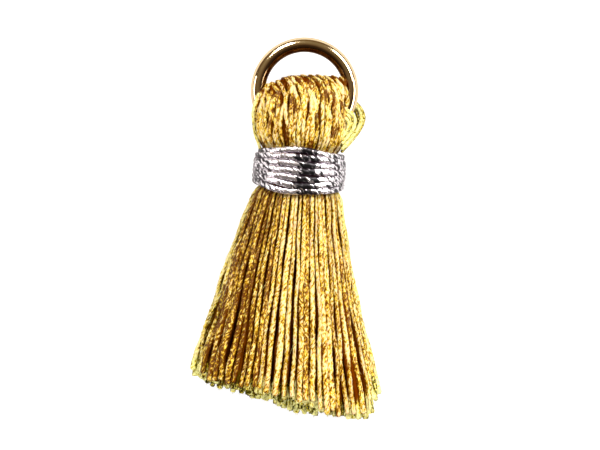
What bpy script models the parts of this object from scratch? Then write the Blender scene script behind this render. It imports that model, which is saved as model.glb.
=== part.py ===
"""Small silk tassel on a jump ring, modelled as it lies on its back on a flat surface.

One hank of thread is folded over the lower arc of a metal jump ring. A wrap of metallic thread binds it
below the ring, and its cut ends fan out into a skirt with a sloping hem. X runs across the tassel, Y along
it with the ring at +Y, and Z up from the surface that it lies on. The origin is on that surface, under the
middle of the whole tassel. Every "drop" below is a distance in -Y from the centre of the jump ring.
"""

import math
from collections import namedtuple

import bpy
import numpy as np
from mathutils import Matrix

# Driving sizes, in millimetres.
MM = 0.001
RING_OUTER = 8.0
RING_WIRE = 1.1
RING_HEIGHT = 2.6
RING_TILT_DEG = 5.0
RING_SEGMENTS = 48
WIRE_SIDES = 12
FULL_LENGTH = 28.1
GAP = 0.3

# Sizes that follow from them.
RING_MEAN_RADIUS = (RING_OUTER - RING_WIRE) / 2
RING_Y = FULL_LENGTH / 2 - RING_OUTER / 2

# Cross-sections of the hank and its wrap. left and right are half-widths, low and high are heights above
# the surface, and flat is how square the underside is: 2 is an ellipse, and 4 is nearly flat.
Section = namedtuple("Section", "drop left right low high flat")
OUTLINE_STEPS = 64
SINK_WITH_FLATNESS = 0.03

HEAD = [
    Section(-1.12, 1.55, 2.05, 2.20, 3.60, 2.0),
    Section(-1.00, 2.30, 2.75, 1.65, 4.15, 2.0),
    Section(-0.72, 2.85, 3.22, 1.10, 4.70, 2.1),
    Section(-0.30, 3.22, 3.42, 0.65, 5.10, 2.2),
    Section(0.35, 3.55, 3.52, 0.25, 5.40, 2.4),
    Section(1.20, 3.74, 3.60, 0.00, 5.64, 3.0),
    Section(2.60, 3.74, 3.68, 0.00, 5.72, 3.0),
    Section(3.25, 3.58, 3.62, 0.16, 5.60, 2.6),
    Section(3.70, 3.22, 3.36, 0.44, 5.30, 2.2),
    Section(3.98, 2.80, 2.86, 0.72, 5.00, 2.0),
    Section(4.08, 2.55, 2.55, 0.83, 4.90, 2.0),
    Section(7.30, 2.55, 2.55, 0.83, 4.90, 2.0),
]

WRAP = [
    Section(4.30, 3.12, 3.16, 0.26, 5.46, 2.3),
    Section(4.70, 3.30, 3.36, 0.10, 5.68, 2.5),
    Section(5.30, 3.44, 3.50, 0.02, 5.80, 2.7),
    Section(6.10, 3.48, 3.54, 0.00, 5.84, 2.8),
    Section(6.90, 3.44, 3.50, 0.02, 5.80, 2.7),
    Section(7.50, 3.30, 3.36, 0.10, 5.68, 2.5),
    Section(7.90, 3.12, 3.16, 0.26, 5.46, 2.3),
]

SKIRT = [
    Section(6.80, 2.38, 2.38, 1.00, 4.73, 2.0),
    Section(8.00, 2.48, 2.48, 0.92, 4.81, 2.0),
    Section(8.40, 3.40, 3.38, 0.45, 5.35, 2.2),
    Section(11.00, 4.25, 4.06, 0.05, 5.80, 2.7),
    Section(14.50, 5.22, 4.86, 0.00, 6.10, 3.1),
    Section(18.50, 6.24, 6.10, 0.00, 6.15, 3.4),
    Section(24.60, 7.70, 8.02, 0.00, 6.00, 3.8),
]

# Head: the surface is ribbed with locks of thread, and its top rises towards +X.
HEAD_LOCKS = 24
LOCK_RELIEF = 0.05
PRESSED_FLAT = 0.08
TOP_RISE = 0.07
TOP_RISE_ENDS_AT = 2.6
HEAD_ENDS_AT = 3.9

# Wrap: turns of thread, each a low rib.
WRAP_TURNS = 9
WRAP_TURN_RELIEF = 0.07
WRAP_SIDES = 36

# Skirt: strands stand in rings round the middle, six more in each ring outwards.
STRAND_RINGS = 8
SQUARE_RINGS = 2
STRAND_FILL = 0.78
STRAND_WANDER = 0.10
STATIONS = (6.80, 8.00, 8.40, 11.00, 15.50)
LOOSE_FROM = 8.0
HEM_DROP = 22.6
HEM_SLOPE_ACROSS = 0.175
HEM_SLOPE_IN_DEPTH = 0.16
HEM_UNEVEN = 0.30
SHORT_EDGE_FROM = 6.6
SHORT_EDGE_BY = 1.7
SEED = 7

# Loose bight: three strands that bow out from the right side of the head, in front of the ring.
Bight = namedtuple("Bight", "start_drop end_drop reach height width")
BIGHTS = [
    Bight(0.60, 3.60, 1.50, 3.98, 0.34),
    Bight(1.02, 3.20, 1.02, 4.12, 0.32),
    Bight(1.42, 2.80, 0.64, 3.95, 0.30),
]
BIGHT_ROOT_X = 3.05
BIGHT_STATIONS = 9
BIGHT_EARLY = 0.65


def section_at(table, drop):
    """The cross-section at any drop, straight between the rows of a table."""
    drops = [row.drop for row in table]
    return Section(drop, *(np.interp(drop, drops, column) for column in list(zip(*table))[1:]))


def middle(section):
    """Height of a section's widest place. It sinks a little as the underside flattens."""
    sink = SINK_WITH_FLATNESS * (section.flat - 2)
    return section.low + (section.high - section.low) * (0.5 - sink)


def half_outline(section, half_width, shares):
    """(x, z) at these shares of the way down one side, by length, from the top centre to the bottom centre.

    The upper quarter is an ellipse, and the lower quarter a superellipse of exponent flat.
    """
    turn = np.linspace(0, math.pi, OUTLINE_STEPS + 1)
    power = np.where(turn <= math.pi / 2, 1.0, 2 / section.flat)
    reach = np.where(turn <= math.pi / 2, section.high - middle(section), middle(section) - section.low)
    x = half_width * np.clip(np.sin(turn), 0, 1) ** power
    z = middle(section) + np.sign(np.cos(turn)) * reach * np.abs(np.cos(turn)) ** power
    length = np.concatenate([[0], np.cumsum(np.hypot(np.diff(x), np.diff(z)))])
    length /= length[-1]
    return np.interp(shares, length, x), np.interp(shares, length, z)


def outline(section, places):
    """(x, z) round a whole section. A place goes from 0 at the top centre, down the right side, to 1."""
    places = np.asarray(places) % 1.0
    right_x, right_z = half_outline(section, section.right, np.clip(2 * places, 0, 1))
    left_x, left_z = half_outline(section, section.left, np.clip(2 - 2 * places, 0, 1))
    on_right = places <= 0.5
    return np.where(on_right, right_x, -left_x), np.where(on_right, right_z, left_z)


def inside(section, share, places):
    """(x, z) at this share of the way from the section's middle to its outline."""
    x, z = outline(section, places)
    return share * x, middle(section) + share * (z - middle(section))


def row_points(x, drop, z):
    """Points in metres from x, drop and height in millimetres."""
    x, drop, z = np.broadcast_arrays(x, drop, z)
    return np.stack([x, RING_Y - drop, z], axis=-1) * MM


def side_faces(near, far, sides):
    """Faces between two rows of points, facing outwards where the second row lies further in -Y."""
    steps = [(side, (side + 1) % sides) for side in range(sides)]
    return [(near + side, far + side, far + after, near + after) for side, after in steps]


def mesh_object(name, points, faces, collection):
    mesh = bpy.data.meshes.new(name)
    mesh.from_pydata([tuple(point) for point in points], [], faces)
    mesh.validate()
    obj = bpy.data.objects.new(name, mesh)
    collection.objects.link(obj)
    return obj


def loft_object(name, lofts, collection):
    """An object of closed prisms. Each is a list of rows of points in the order of their places."""
    points, faces = [], []
    for rows in lofts:
        first = sum(map(len, points))
        sides = len(rows[0])
        last = first + (len(rows) - 1) * sides
        for near in range(first, last, sides):
            faces += side_faces(near, near + sides, sides)
        faces.append(tuple(range(first, first + sides)))
        faces.append(tuple(reversed(range(last, last + sides))))
        points += rows
    return mesh_object(name, np.concatenate(points), faces, collection)


def finish_material(name, colour, roughness, metallic):
    material = bpy.data.materials.new(name)
    material.use_nodes = True
    shader = material.node_tree.nodes["Principled BSDF"]
    shader.inputs["Base Color"].default_value = (*colour, 1.0)
    shader.inputs["Roughness"].default_value = roughness
    shader.inputs["Metallic"].default_value = metallic
    material.diffuse_color = (*colour, 1.0)
    return material


def new_collection(name):
    collection = bpy.data.collections.new(name)
    bpy.context.scene.collection.children.link(collection)
    return collection


def make_helper(obj):
    """Marks an object as one that only cuts or joins another."""
    obj.hide_render = True
    obj.display_type = "WIRE"
    return obj


def move_to(obj, collection):
    for owner in list(obj.users_collection):
        owner.objects.unlink(obj)
    collection.objects.link(obj)


def torus_on_ring(name, wire_radius, collection):
    """A torus on the jump ring's own centre line, tilted with it so that its far side droops."""
    bpy.ops.mesh.primitive_torus_add(
        major_radius=RING_MEAN_RADIUS * MM,
        minor_radius=wire_radius * MM,
        major_segments=RING_SEGMENTS,
        minor_segments=WIRE_SIDES,
    )
    obj = bpy.context.object
    obj.name = name
    # Half a facet's turn puts a flat facet, not an edge, at the top of the ring and on its inner side.
    obj.data.transform(Matrix.Rotation(math.pi / RING_SEGMENTS, 4, "Z"))
    obj.location = (0, RING_Y * MM, RING_HEIGHT * MM)
    obj.rotation_euler = (-math.radians(RING_TILT_DEG), 0, 0)
    move_to(obj, collection)
    return obj


def make_ring(parts, material):
    ring = torus_on_ring("jump_ring", RING_WIRE / 2, parts)
    ring.data.materials.append(material)
    ring.data.shade_smooth()
    return ring


def make_head(parts, material):
    """The folded hank down to its bound neck, ribbed where it isn't pressed on the surface."""
    count = 2 * HEAD_LOCKS
    places = np.arange(count) / count
    rib = np.where(np.arange(count) % 2 == 0, LOCK_RELIEF, -LOCK_RELIEF)
    rows = []
    for section in HEAD:
        x, z = outline(section, places)
        centre = middle(section)
        pressed = z < section.low + PRESSED_FLAT
        bound = section.drop > HEAD_ENDS_AT
        swell = 1 + np.where(pressed | bound, 0, rib) / np.hypot(x, z - centre)
        z = np.where(pressed, section.low, centre + (z - centre) * swell)
        rise = TOP_RISE * np.clip((TOP_RISE_ENDS_AT - section.drop) / TOP_RISE_ENDS_AT, 0, 1)
        rows.append(row_points(x * swell, section.drop - rise * x, z))
    head = loft_object("threads", [rows], parts)
    head.data.materials.append(material)
    head.data.shade_smooth()
    return head


def hem_drop(x, height, unevenness):
    """Where a strand is cut: the hem slopes across the skirt, and the strands behind are longer."""
    short_edge = SHORT_EDGE_BY * max(0.0, x - SHORT_EDGE_FROM)
    depth = section_at(SKIRT, HEM_DROP).high / 2 - height
    return HEM_DROP + HEM_SLOPE_ACROSS * x + HEM_SLOPE_IN_DEPTH * depth + unevenness - short_edge


def strand_rows(corners, wander):
    """Rows of corner points of one strand. It wanders more towards its tip, inside its own share of space."""
    tip = section_at(SKIRT, HEM_DROP)
    shares, places = np.mean(corners, axis=0)
    tip_x, tip_z = inside(tip, shares, places)
    end = hem_drop(float(tip_x), float(tip_z), wander[2] * HEM_UNEVEN)
    rows = []
    for drop in (*STATIONS, end):
        section = section_at(SKIRT, drop)
        freedom = np.clip((drop - LOOSE_FROM) / (HEM_DROP - LOOSE_FROM), 0, 1)
        share = corners[:, 0] + freedom * wander[0]
        place = corners[:, 1] + freedom * wander[1]
        x, z = inside(section, np.minimum(share, 1.0), place)
        rows.append(row_points(x, drop, z))
    return rows


def make_strands(helpers):
    """All strands of the skirt as one helper, each closed and clear of the others."""
    draw = np.random.default_rng(SEED)
    strands = []
    for ring in range(1, STRAND_RINGS + 1):
        count = 6 * ring
        half = 0.5 * STRAND_FILL / count
        reach = np.array([STRAND_WANDER / STRAND_RINGS, STRAND_WANDER / count, 1.0])
        outer = (ring - 0.5 + STRAND_FILL / 2) / STRAND_RINGS
        inner = (ring - 0.5 - STRAND_FILL / 2) / STRAND_RINGS
        if ring == STRAND_RINGS:
            outer = 1.0
        for number in range(count):
            place = (number + 0.5 * (ring % 2)) / count
            corners = [(outer, place - half), (outer, place + half)]
            if ring > STRAND_RINGS - SQUARE_RINGS:
                corners += [(inner, place + half), (inner, place - half)]
            else:
                corners += [(inner, place)]
            strands.append(strand_rows(np.array(corners), draw.uniform(-1, 1, 3) * reach))
    return make_helper(loft_object("skirt_strands", strands, helpers))


def bight_rows(bight):
    """Rows of corner points of one loose strand. It bows out of the head on a lopsided half sine."""
    half = bight.width / 2
    rows = []
    for share in np.linspace(0, 1, BIGHT_STATIONS):
        drop = bight.start_drop + share * (bight.end_drop - bight.start_drop)
        middle_x = BIGHT_ROOT_X + bight.reach * math.sin(math.pi * share**BIGHT_EARLY)
        x = middle_x + np.array([half, half, -half, -half])
        z = bight.height + np.array([half, -half, -half, half])
        rows.append(row_points(x, drop, z))
    return rows


def make_bights(helpers):
    return make_helper(loft_object("loose_bights", [bight_rows(bight) for bight in BIGHTS], helpers))


def make_wrap(parts, material):
    """The binding: an oval sleeve whose outer face is a row of low ribs, one for each turn of thread."""
    places = np.arange(WRAP_SIDES) / WRAP_SIDES
    neck = HEAD[-1]
    bore = neck._replace(
        left=neck.left + GAP, right=neck.right + GAP, low=neck.low - GAP, high=neck.high + GAP
    )
    outer_drops = np.linspace(WRAP[0].drop, WRAP[-1].drop, 2 * WRAP_TURNS + 1)
    rows = []
    for index, drop in enumerate(outer_drops):
        section = section_at(WRAP, drop)
        sunk = WRAP_TURN_RELIEF if index % 2 == 0 else 0.0
        shrunk = section._replace(
            left=section.left - sunk,
            right=section.right - sunk,
            low=section.low + sunk,
            high=section.high - sunk,
        )
        x, z = outline(shrunk, places)
        rows.append(row_points(x, drop, z))
    for drop in (WRAP[-1].drop, WRAP[0].drop):
        x, z = outline(bore, places)
        rows.append(row_points(x, drop, z))
    faces = []
    for row in range(len(rows)):
        faces += side_faces(row * WRAP_SIDES, (row + 1) % len(rows) * WRAP_SIDES, WRAP_SIDES)
    wrap = mesh_object("neck_wrap", np.concatenate(rows), faces, parts)
    wrap.data.materials.append(material)
    wrap.data.shade_smooth()
    return wrap


def combine(target, helper, operation):
    boolean = target.modifiers.new(f"{operation.lower()} {helper.name}", "BOOLEAN")
    boolean.operation = operation
    boolean.object = helper
    boolean.solver = "EXACT"


def main():
    for obj in list(bpy.data.objects):
        bpy.data.objects.remove(obj, do_unlink=True)
    parts = new_collection("silk_tassel")
    helpers = new_collection("helpers")

    silk = finish_material("silk", (0.66, 0.42, 0.07), 0.35, 0.0)
    metallic_thread = finish_material("metallic_thread", (0.78, 0.77, 0.80), 0.25, 0.9)
    gold_plate = finish_material("gold_plate", (0.83, 0.62, 0.36), 0.12, 1.0)

    make_ring(parts, gold_plate)
    make_wrap(parts, metallic_thread)
    threads = make_head(parts, silk)
    combine(threads, make_strands(helpers), "UNION")
    combine(threads, make_bights(helpers), "UNION")
    tunnel = make_helper(torus_on_ring("ring_tunnel", RING_WIRE / 2 + GAP, helpers))
    combine(threads, tunnel, "DIFFERENCE")


main()
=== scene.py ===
"""Dresses the small silk tassel: twisted silk threads, a metallic binding, a gold jump ring, and a stage.

Everything is worked out in millimetres in the part's own frame: X across the tassel, Y along it with the
ring at +Y, and Z up from the surface it lies on. A "drop" is a distance in -Y from the centre of the ring.
A "place" is a share of the way round a cross-section, from 0 at the top centre, down the right side, to 1.
A pair of values whose name ends in OVER is the range in which smoothstep takes a change from 0 to 1.
"""

import math
from collections import namedtuple
from functools import wraps

import bpy
import numpy as np
from bpy.props import FloatProperty, FloatVectorProperty, IntProperty, PointerProperty
from bpy.types import Operator, Panel, PropertyGroup
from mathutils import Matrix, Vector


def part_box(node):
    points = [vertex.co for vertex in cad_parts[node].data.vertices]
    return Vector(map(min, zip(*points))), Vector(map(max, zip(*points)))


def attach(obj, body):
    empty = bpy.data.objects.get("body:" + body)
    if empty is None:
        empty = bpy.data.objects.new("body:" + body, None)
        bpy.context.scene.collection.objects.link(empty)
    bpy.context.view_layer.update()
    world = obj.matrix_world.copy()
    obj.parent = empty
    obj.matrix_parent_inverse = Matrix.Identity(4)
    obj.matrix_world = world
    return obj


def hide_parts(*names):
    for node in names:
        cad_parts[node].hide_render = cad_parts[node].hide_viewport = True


bl_info = {
    "name": "Silk tassel",
    "version": (1, 0, 0),
    "blender": (4, 5, 0),
    "location": "View3D > Sidebar > Tassel",
    "description": "Makes the threads, binding, jump ring and stage of a small silk tassel",
    "category": "Add Mesh",
}

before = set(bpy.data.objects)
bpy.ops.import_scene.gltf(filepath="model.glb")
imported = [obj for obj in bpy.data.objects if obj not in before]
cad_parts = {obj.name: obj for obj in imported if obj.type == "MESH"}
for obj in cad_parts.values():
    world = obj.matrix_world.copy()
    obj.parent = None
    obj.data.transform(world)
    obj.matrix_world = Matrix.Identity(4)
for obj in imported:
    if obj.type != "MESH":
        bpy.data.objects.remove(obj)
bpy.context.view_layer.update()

MM = 0.001
TINY = 1e-12

# The jump ring, as the frame has it. The last pair below is painted shade on the inside of the ring,
# darkening what its plate mirrors there: how far inside the middle of its wire that shade is full, and how
# far out it fades.
ring_low, ring_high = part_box("jump_ring")
RING_Y = (ring_low.y + ring_high.y) / 2 / MM
RING_Z = (ring_low.z + ring_high.z) / 2 / MM
RING_OUTER = (ring_high.x - ring_low.x) / MM
RING_WIRE = 1.1
RING_TILT_DEG = 5.0
RING_MEAN_RADIUS = (RING_OUTER - RING_WIRE) / 2
RING_POINTS, RING_SIDES = 224, 40
RING_PAINTED_SHADE = (0.27, 0.12)

# Cross-sections. left and right are half-widths, low and high are heights above the surface, and flat is
# how square the underside is: 2 is an ellipse, and 4 is nearly flat. A form is worked out from them on a grid
# of drops and places, with angles in each half.
Section = namedtuple("Section", "drop left right low high flat")
SINK_WITH_FLATNESS = 0.03
FORM_ROWS = 96
FORM_PLACES = 192
FORM_TURNS = 97

# Threads: their plies, how small their cut ends are, how far apart in the noise two threads' specks lie,
# the length in which their looks swing once, the paces of the sines that they wander in, and how unevenly
# they are twisted, thick and bright.
PLIES = 2
CUT_END = 0.72
LOT_APART = 7.31
LOOK_SWING = 4.0
WANDER_PACES = (1.0, 1.7, 2.9)
TURN_SHARES, WAIST_SHARES, DEEPEST_WAIST = (0.88, 1.12), (0.35, 1.5), 0.6
TWIST_WANDERS, WAIST_WANDERS, RADIUS_WANDERS, TONE_WANDERS = 0.6, 0.04, 0.05, 0.07

# Added to the seed of the silk, so that each group of pieces has draws of its own.
HEAD_SEED, LOOSE_SEED, FRAY_SEED, SKIRT_SEED = 20, 40, 60, 100

UP = np.array([0.0, 0.0, 1.0])

HEAD = [
    Section(-1.20, 3.30, 3.30, 0.90, 4.90, 3.0),
    Section(0.35, 3.60, 3.42, 0.25, 5.40, 3.0),
    Section(1.20, 3.72, 3.46, 0.00, 5.64, 3.0),
    Section(2.60, 3.70, 3.52, 0.00, 5.72, 3.0),
    Section(3.25, 3.60, 3.50, 0.12, 5.62, 2.8),
    Section(3.75, 3.38, 3.38, 0.34, 5.42, 2.5),
    Section(4.30, 2.98, 3.02, 0.62, 5.16, 2.2),
    Section(4.90, 2.75, 2.75, 0.80, 4.95, 2.0),
]

WRAP = [
    Section(4.20, 3.06, 3.10, 0.30, 5.40, 2.3),
    Section(4.70, 3.30, 3.36, 0.10, 5.68, 2.5),
    Section(5.30, 3.44, 3.50, 0.02, 5.80, 2.7),
    Section(6.10, 3.48, 3.54, 0.00, 5.84, 2.8),
    Section(6.90, 3.44, 3.50, 0.02, 5.80, 2.7),
    Section(7.50, 3.30, 3.36, 0.10, 5.68, 2.5),
    Section(8.00, 3.06, 3.10, 0.30, 5.40, 2.3),
]

SKIRT = [
    Section(6.80, 2.60, 2.65, 0.80, 4.90, 2.0),
    Section(7.30, 3.08, 3.14, 0.50, 5.18, 2.1),
    Section(7.80, 3.46, 3.48, 0.32, 5.42, 2.2),
    Section(8.60, 3.74, 3.64, 0.22, 5.54, 2.3),
    Section(9.40, 4.01, 3.80, 0.16, 5.62, 2.5),
    Section(11.00, 4.50, 4.14, 0.05, 5.80, 2.7),
    Section(14.50, 5.36, 4.94, 0.00, 6.08, 3.1),
    Section(18.50, 6.40, 6.20, 0.00, 6.12, 3.4),
    Section(22.00, 7.18, 7.30, 0.00, 6.05, 3.6),
    Section(25.00, 7.86, 8.16, 0.00, 5.98, 3.8),
]

# Binding: drops of its first and last turns, how they are drawn together, raised and narrowed at the sides,
# half the thread's width as a share of the way from turn to turn, and how far it sways and how often.
BAND_FIRST, BAND_LAST, BAND_MIDDLE = 4.53, 7.59, 6.06
BAND_DRAWN_IN, BAND_RAISED, BAND_NARROWED = 0.27, 0.20, 0.5
BAND_OVERLAP = 0.51
BAND_SWAY, BAND_SWINGS = 0.012, range(9, 34)
# The place where its thread starts, the share of a turn at each end that runs level, and how its ends sink.
BAND_START, BAND_LEVEL = 0.55, 0.5
BAND_TUCKED, BAND_TUCKED_OVER = 0.12, (0.0, 0.35)
# Its creases: how many go round it, the length in which they do, and their depth, a share of its thickness.
BAND_CREASES, BAND_CREASE, BAND_CREASE_DEPTH = 2, 0.62, 0.05
BAND_POINTS, BAND_SIDES, BAND_STEP, BAND_SEED = 300, 16, 0.07, 5

# How bright the foil is across the front of the binding, from dull to bright: (x, tone). The dull stretch
# just right of the middle is a painted reflection of the dark room overhead; elsewhere the tone sets how many
# dull flecks show. The borders between bright and dull are ragged. The flanks start at the x in
# BAND_FLANK_OVER, and shine less like metal.
BAND_TONES_AND_PAINTED_REFLECTION = [
    (-3.6, 0.36), (-2.5, 0.36), (-1.8, 1.02), (-0.35, 0.98), (0.05, 0.06),
    (1.20, 0.04), (1.50, 0.94), (2.0, 0.98), (2.4, 0.40), (3.6, 0.36),
]
BAND_TONE_BEHIND = 0.6
BAND_RAGGED, BAND_RAGGED_WAVES, BAND_RAGGED_POWER = 0.16, 61, 1.1
BAND_FLANK_OVER = (1.9, 2.6)

# Skirt: layers of thread from the outside in. inset is how deep their middles lie, and sides and steps are
# the points round a thread and the rings in one turn of its twist. first and last are the places they keep.
SURFACE_INSET = 0.26
Layer = namedtuple("Layer", "name count inset sides steps first last")
SKIRT_LAYERS = [
    Layer("skirt_upper", 62, SURFACE_INSET, 10, 7, -0.27, 0.27),
    Layer("skirt_lower", 62, SURFACE_INSET, 10, 7, 0.27, 0.73),
    Layer("skirt_second", 58, 0.58, 8, 6, -0.5, 0.5),
    Layer("skirt_third", 50, 1.02, 8, 5, -0.5, 0.5),
    Layer("skirt_fourth", 38, 1.52, 6, 5, -0.5, 0.5),
    Layer("skirt_fifth", 40, 2.08, 6, 5, -0.5, 0.5),
    Layer("skirt_core", 32, 2.50, 6, 5, -0.5, 0.5),
    Layer("skirt_heart", 22, 2.84, 6, 5, -0.5, 0.5),
]
# The drop of their roots, the height of the skirt's middle, how far a thread fills the way to its neighbours,
# the least height of its middle, and the points of a path, as shares of its length.
SKIRT_ROOT = 7.0
SKIRT_MIDDLE = 3.0
SNUG = 0.98
LEAST_HEIGHT = 0.285
PATH_POINTS = 110
SHARES = np.linspace(0, 1, PATH_POINTS)

# The skirt's hem: drops of the cut across the skirt, (x, drop), its slope in depth, and the threads that
# are longer in front at the right and behind.
HEM_DROP = 22.95
HEM_CUT = [
    (-7.4, 21.24), (-6.4, 21.66), (-5.0, 22.12), (3.5, 23.55), (4.5, 23.68), (5.8, 23.70), (6.5, 23.40),
    (7.0, 21.90), (8.4, 21.85),
]
HEM_SLOPE_IN_DEPTH = 0.13
HEM_UNEVEN = 0.22
LONG_FRONT = 0.30
LONG_FRONT_FROM_OVER, LONG_FRONT_TO_OVER, LONG_FRONT_UP_OVER = (2.0, 3.4), (6.6, 6.2), (2.0, 5.0)
LONG_BEHIND, LONG_BEHIND_AT, LONG_BEHIND_WIDE, LONG_BEHIND_DOWN_OVER = 0.36, 1.2, 1.7, (4.0, 2.0)

# How threads leave their even places, as shares of the way from thread to thread. They are loose from a
# drop on, soon fully, and lie in their locks some way before the hem.
ROOT_UNEVEN, DRIFT = 0.14, 0.13
SKIRT_SWINGS, SKIRT_SWAY = 1.6, 0.09
LOOSE_FROM, LOOSE_SOON, LOCKED_BEFORE_HEM = 8.6, 2.0, 5.0

# How far threads sink in: every other one near the binding, and each one by its own depth below.
SUNK_EARLY, SUNK_EARLY_OVER = 0.08, (9.5, 14.0)
SUNK_MOST, SUNK_SWAY = 0.16, 0.04

# Loose fibres. lengths is the range they are drawn from, and spread how far their ways part. HAIR_HEIGHT is
# how high they count as over the hank's surface, so that they get no painted shade and much of the painted
# highlight.
Hair = namedtuple("Hair", "thick lengths spread tone moss")
FRAY = Hair(0.022, (0.10, 0.26), 0.28, 0.75, 0.6)
STRAY = Hair(0.016, (0.5, 1.4), 0.18, 0.8, 0.5)
HAIR_POINTS, HAIR_SIDES, HAIR_BEND, HAIR_HEIGHT = 5, 3, 0.14, 0.1
HAIR_TAPER, HAIR_TONE_UNEVEN = 0.6, 0.15
# How many spread from each cut end of the layers above this inset, and how far round and behind the ends.
FRAYED_TO = 1.1
FRAYS_EACH, FRAY_ROUND, FRAY_BEHIND = 2, 0.07, 0.1
# How many leave the skirt, at which points of its threads, how steeply, and how far above their middles.
STRAY_FIBRES = 160
STRAY_POINTS = (PATH_POINTS // 6, PATH_POINTS - 6)
STRAY_OFF, STRAY_ABOVE = 0.10, 0.16
NEARBY_POINTS = 4

# Locks: threads crowd together round the skirt in waves, (number of locks, strength, start in radians).
LOCK_WAVES = [(6, 0.08, 0.15), (11, 0.12, 0.96), (17, 0.13, 1.76), (29, 0.14, 5.97)]

# Head: loops of thread from the bound edge in front, over the ring's lower arc, to the bound edge behind.
# widest is the angle of the outermost loop in degrees.
HeadLayer = namedtuple("HeadLayer", "name count inset widest sides steps")
HEAD_LAYERS = [
    HeadLayer("head_threads", 30, SURFACE_INSET, 84.0, 10, 7),
    HeadLayer("head_under", 29, 0.48, 82.0, 8, 6),
]
# The drops where it ends and is fullest, how far above the ring's centre it closes, how thick its threads are
# as a share of the others, how they sway, how uneven their places are, and how they clear the ring's wire.
HEAD_END = 4.75
HEAD_FULLEST, HEAD_CLOSES = 2.2, 1.3
HEAD_THREAD = 0.91
HEAD_SWINGS, HEAD_SWAY = 3.4, 0.095
LOOP_UNEVEN = 0.35
RING_CLEAR = 0.85

# The crown, where the loops bend over the ring: its line, (x, drop), and how the loops lie along it. It is
# narrower the deeper a layer lies, and would be a point at CROWN_POINT_IN.
CROWN = [
    (-3.50, 0.40), (-3.16, 0.10), (-2.80, -0.18), (-2.20, -0.46), (-1.30, -0.90), (-0.60, -1.02),
    (1.00, -1.12), (2.00, -1.17), (2.55, -1.15), (3.17, -0.85), (3.45, -0.40),
]
CROWN_GUESS, CROWN_PASSES = -1.1, 3
CROWN_HALF_WIDTH = 3.0
CROWN_POINT_IN = 6
CROWN_SLANT, CROWN_SLANT_AT, CROWN_LEFT_MARGIN = 1.35, 0.3, 0.12
CROWN_STAGGER, CROWN_UNDER, CROWN_UNEVEN = 0.08, 0.4, 0.05
CROWN_ROUND, CROWN_POWER = 2.6, 2.3
CROWN_FLATTEST = 0.55

# Ranges of the way from the crown, 0, to the bound edge, 1, in which a loop slants, its stagger fades, its
# sway comes and goes, and its section becomes the head's own.
SLANT_OVER = (-0.12, 0.58)
STAGGER_OVER = (0.1, 0.5)
SWAY_FROM_OVER, SWAY_TO_OVER = (0.05, 0.3), (0.7, 0.95)
SECTION_OVER = (0.35, 0.8)

# Loose bight: threads that bow out from the right side of the head, in front of the ring. start and end are
# drops, and low and high are heights above the ring's centre line at the start and at the end.
Bight = namedtuple("Bight", "start end reach low high radius tone")
BIGHTS = [
    Bight(0.32, 4.40, 1.52, -0.80, 0.80, 0.14, 0.55),
    Bight(0.50, 4.20, 1.32, -0.80, 1.00, 0.16, 1.05),
    Bight(0.75, 3.98, 1.07, -0.80, 0.75, 0.13, 0.12),
    Bight(1.20, 3.78, 0.87, 0.80, 1.00, 0.15, 1.15),
    Bight(1.50, 3.50, 0.63, 0.80, 0.90, 0.14, 0.60),
    Bight(1.80, 3.25, 0.42, 0.85, 0.95, 0.15, 0.90),
]
# The x of their roots, how early they bow out, when they rise, their depth as a share of their radius, which
# sets their painted shade, and their moss. The steps and sides are as in the layers of the skirt.
BIGHT_ROOT_X = 3.02
BIGHT_EARLY = 0.65
BIGHT_RISE_OVER = (0.12, 0.6)
BIGHT_DEPTH, BIGHT_MOSS = 0.6, 0.85
LOOSE_STEPS, BIGHT_SIDES, LOOSE_SIDES = 8, 10, 8

# The loose thread at the left of the head: points (x, drop, height), and its radius, tone, depth and moss.
LOOSE_LOOKS = (0.12, 0.85, 0.02, 0.8)
LOOSE_LEFT = [
    (-3.35, 0.45, 4.00),
    (-3.56, 1.10, 3.85),
    (-3.68, 1.80, 3.70),
    (-3.61, 2.60, 3.60),
    (-3.45, 3.40, 3.55),
    (-3.14, 4.10, 3.60),
    (-2.95, 4.60, 3.60),
]


def length_setting(name, description, millimetres):
    """A length that a user can change, with its default in millimetres."""
    return FloatProperty(
        name=name, description=description, default=millimetres * MM, min=0.0,
        unit="LENGTH", subtype="DISTANCE", precision=5,
    )


def colour_setting(name, description, colour):
    """A colour that a user can change."""
    return FloatVectorProperty(
        name=name, description=description, default=colour, size=3, min=0.0, max=1.0, subtype="COLOR",
    )


class SilkSettings(PropertyGroup):
    """The silk thread of the head, the skirt and the loose bight."""

    thread: length_setting("Thread", "Diameter of one two-ply thread", 0.45)
    turn: length_setting("Turn of twist", "Length of thread in which its plies go round once", 0.86)
    waist: FloatProperty(
        name="Waist", description="How deep the groove between the two plies is, as a share of the radius",
        default=0.09, min=0.0, max=0.6, subtype="FACTOR",
    )
    deep: colour_setting("Deep colour", "Colour of the darkest fibres", (0.14, 0.038, 0.0))
    middle: colour_setting("Colour", "Colour of most of the silk", (0.61, 0.312, 0.006))
    light: colour_setting("Light colour", "Colour of the paler fibres", (0.93, 0.66, 0.055))
    pale: colour_setting("Palest colour", "Colour of the palest fibres", (0.90, 0.76, 0.36))
    moss: colour_setting("Moss colour", "Colour of the silk near the ends at the back", (0.80, 0.64, 0.01))
    # Painted shade: the darkest moss is also the colour painted deep between the mossy threads, as the shadow
    # colour below is between the others.
    dark_moss_and_shade: colour_setting("Dark moss colour", "Colour deep between the mossy threads", (0.05, 0.042, 0.0))
    lemon: colour_setting("Lemon colour", "Colour of the palest ends at the back", (1.0, 0.99, 0.38))
    blush: colour_setting("Blush colour", "Colour of the pinker fibres", (0.92, 0.60, 0.34))
    shadow: colour_setting("Shadow colour", "Colour of the silk deep between the threads", (0.13, 0.024, 0.0))
    seed: IntProperty(name="Seed", description="Picks another lie of the threads", default=11, min=0)


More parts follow.
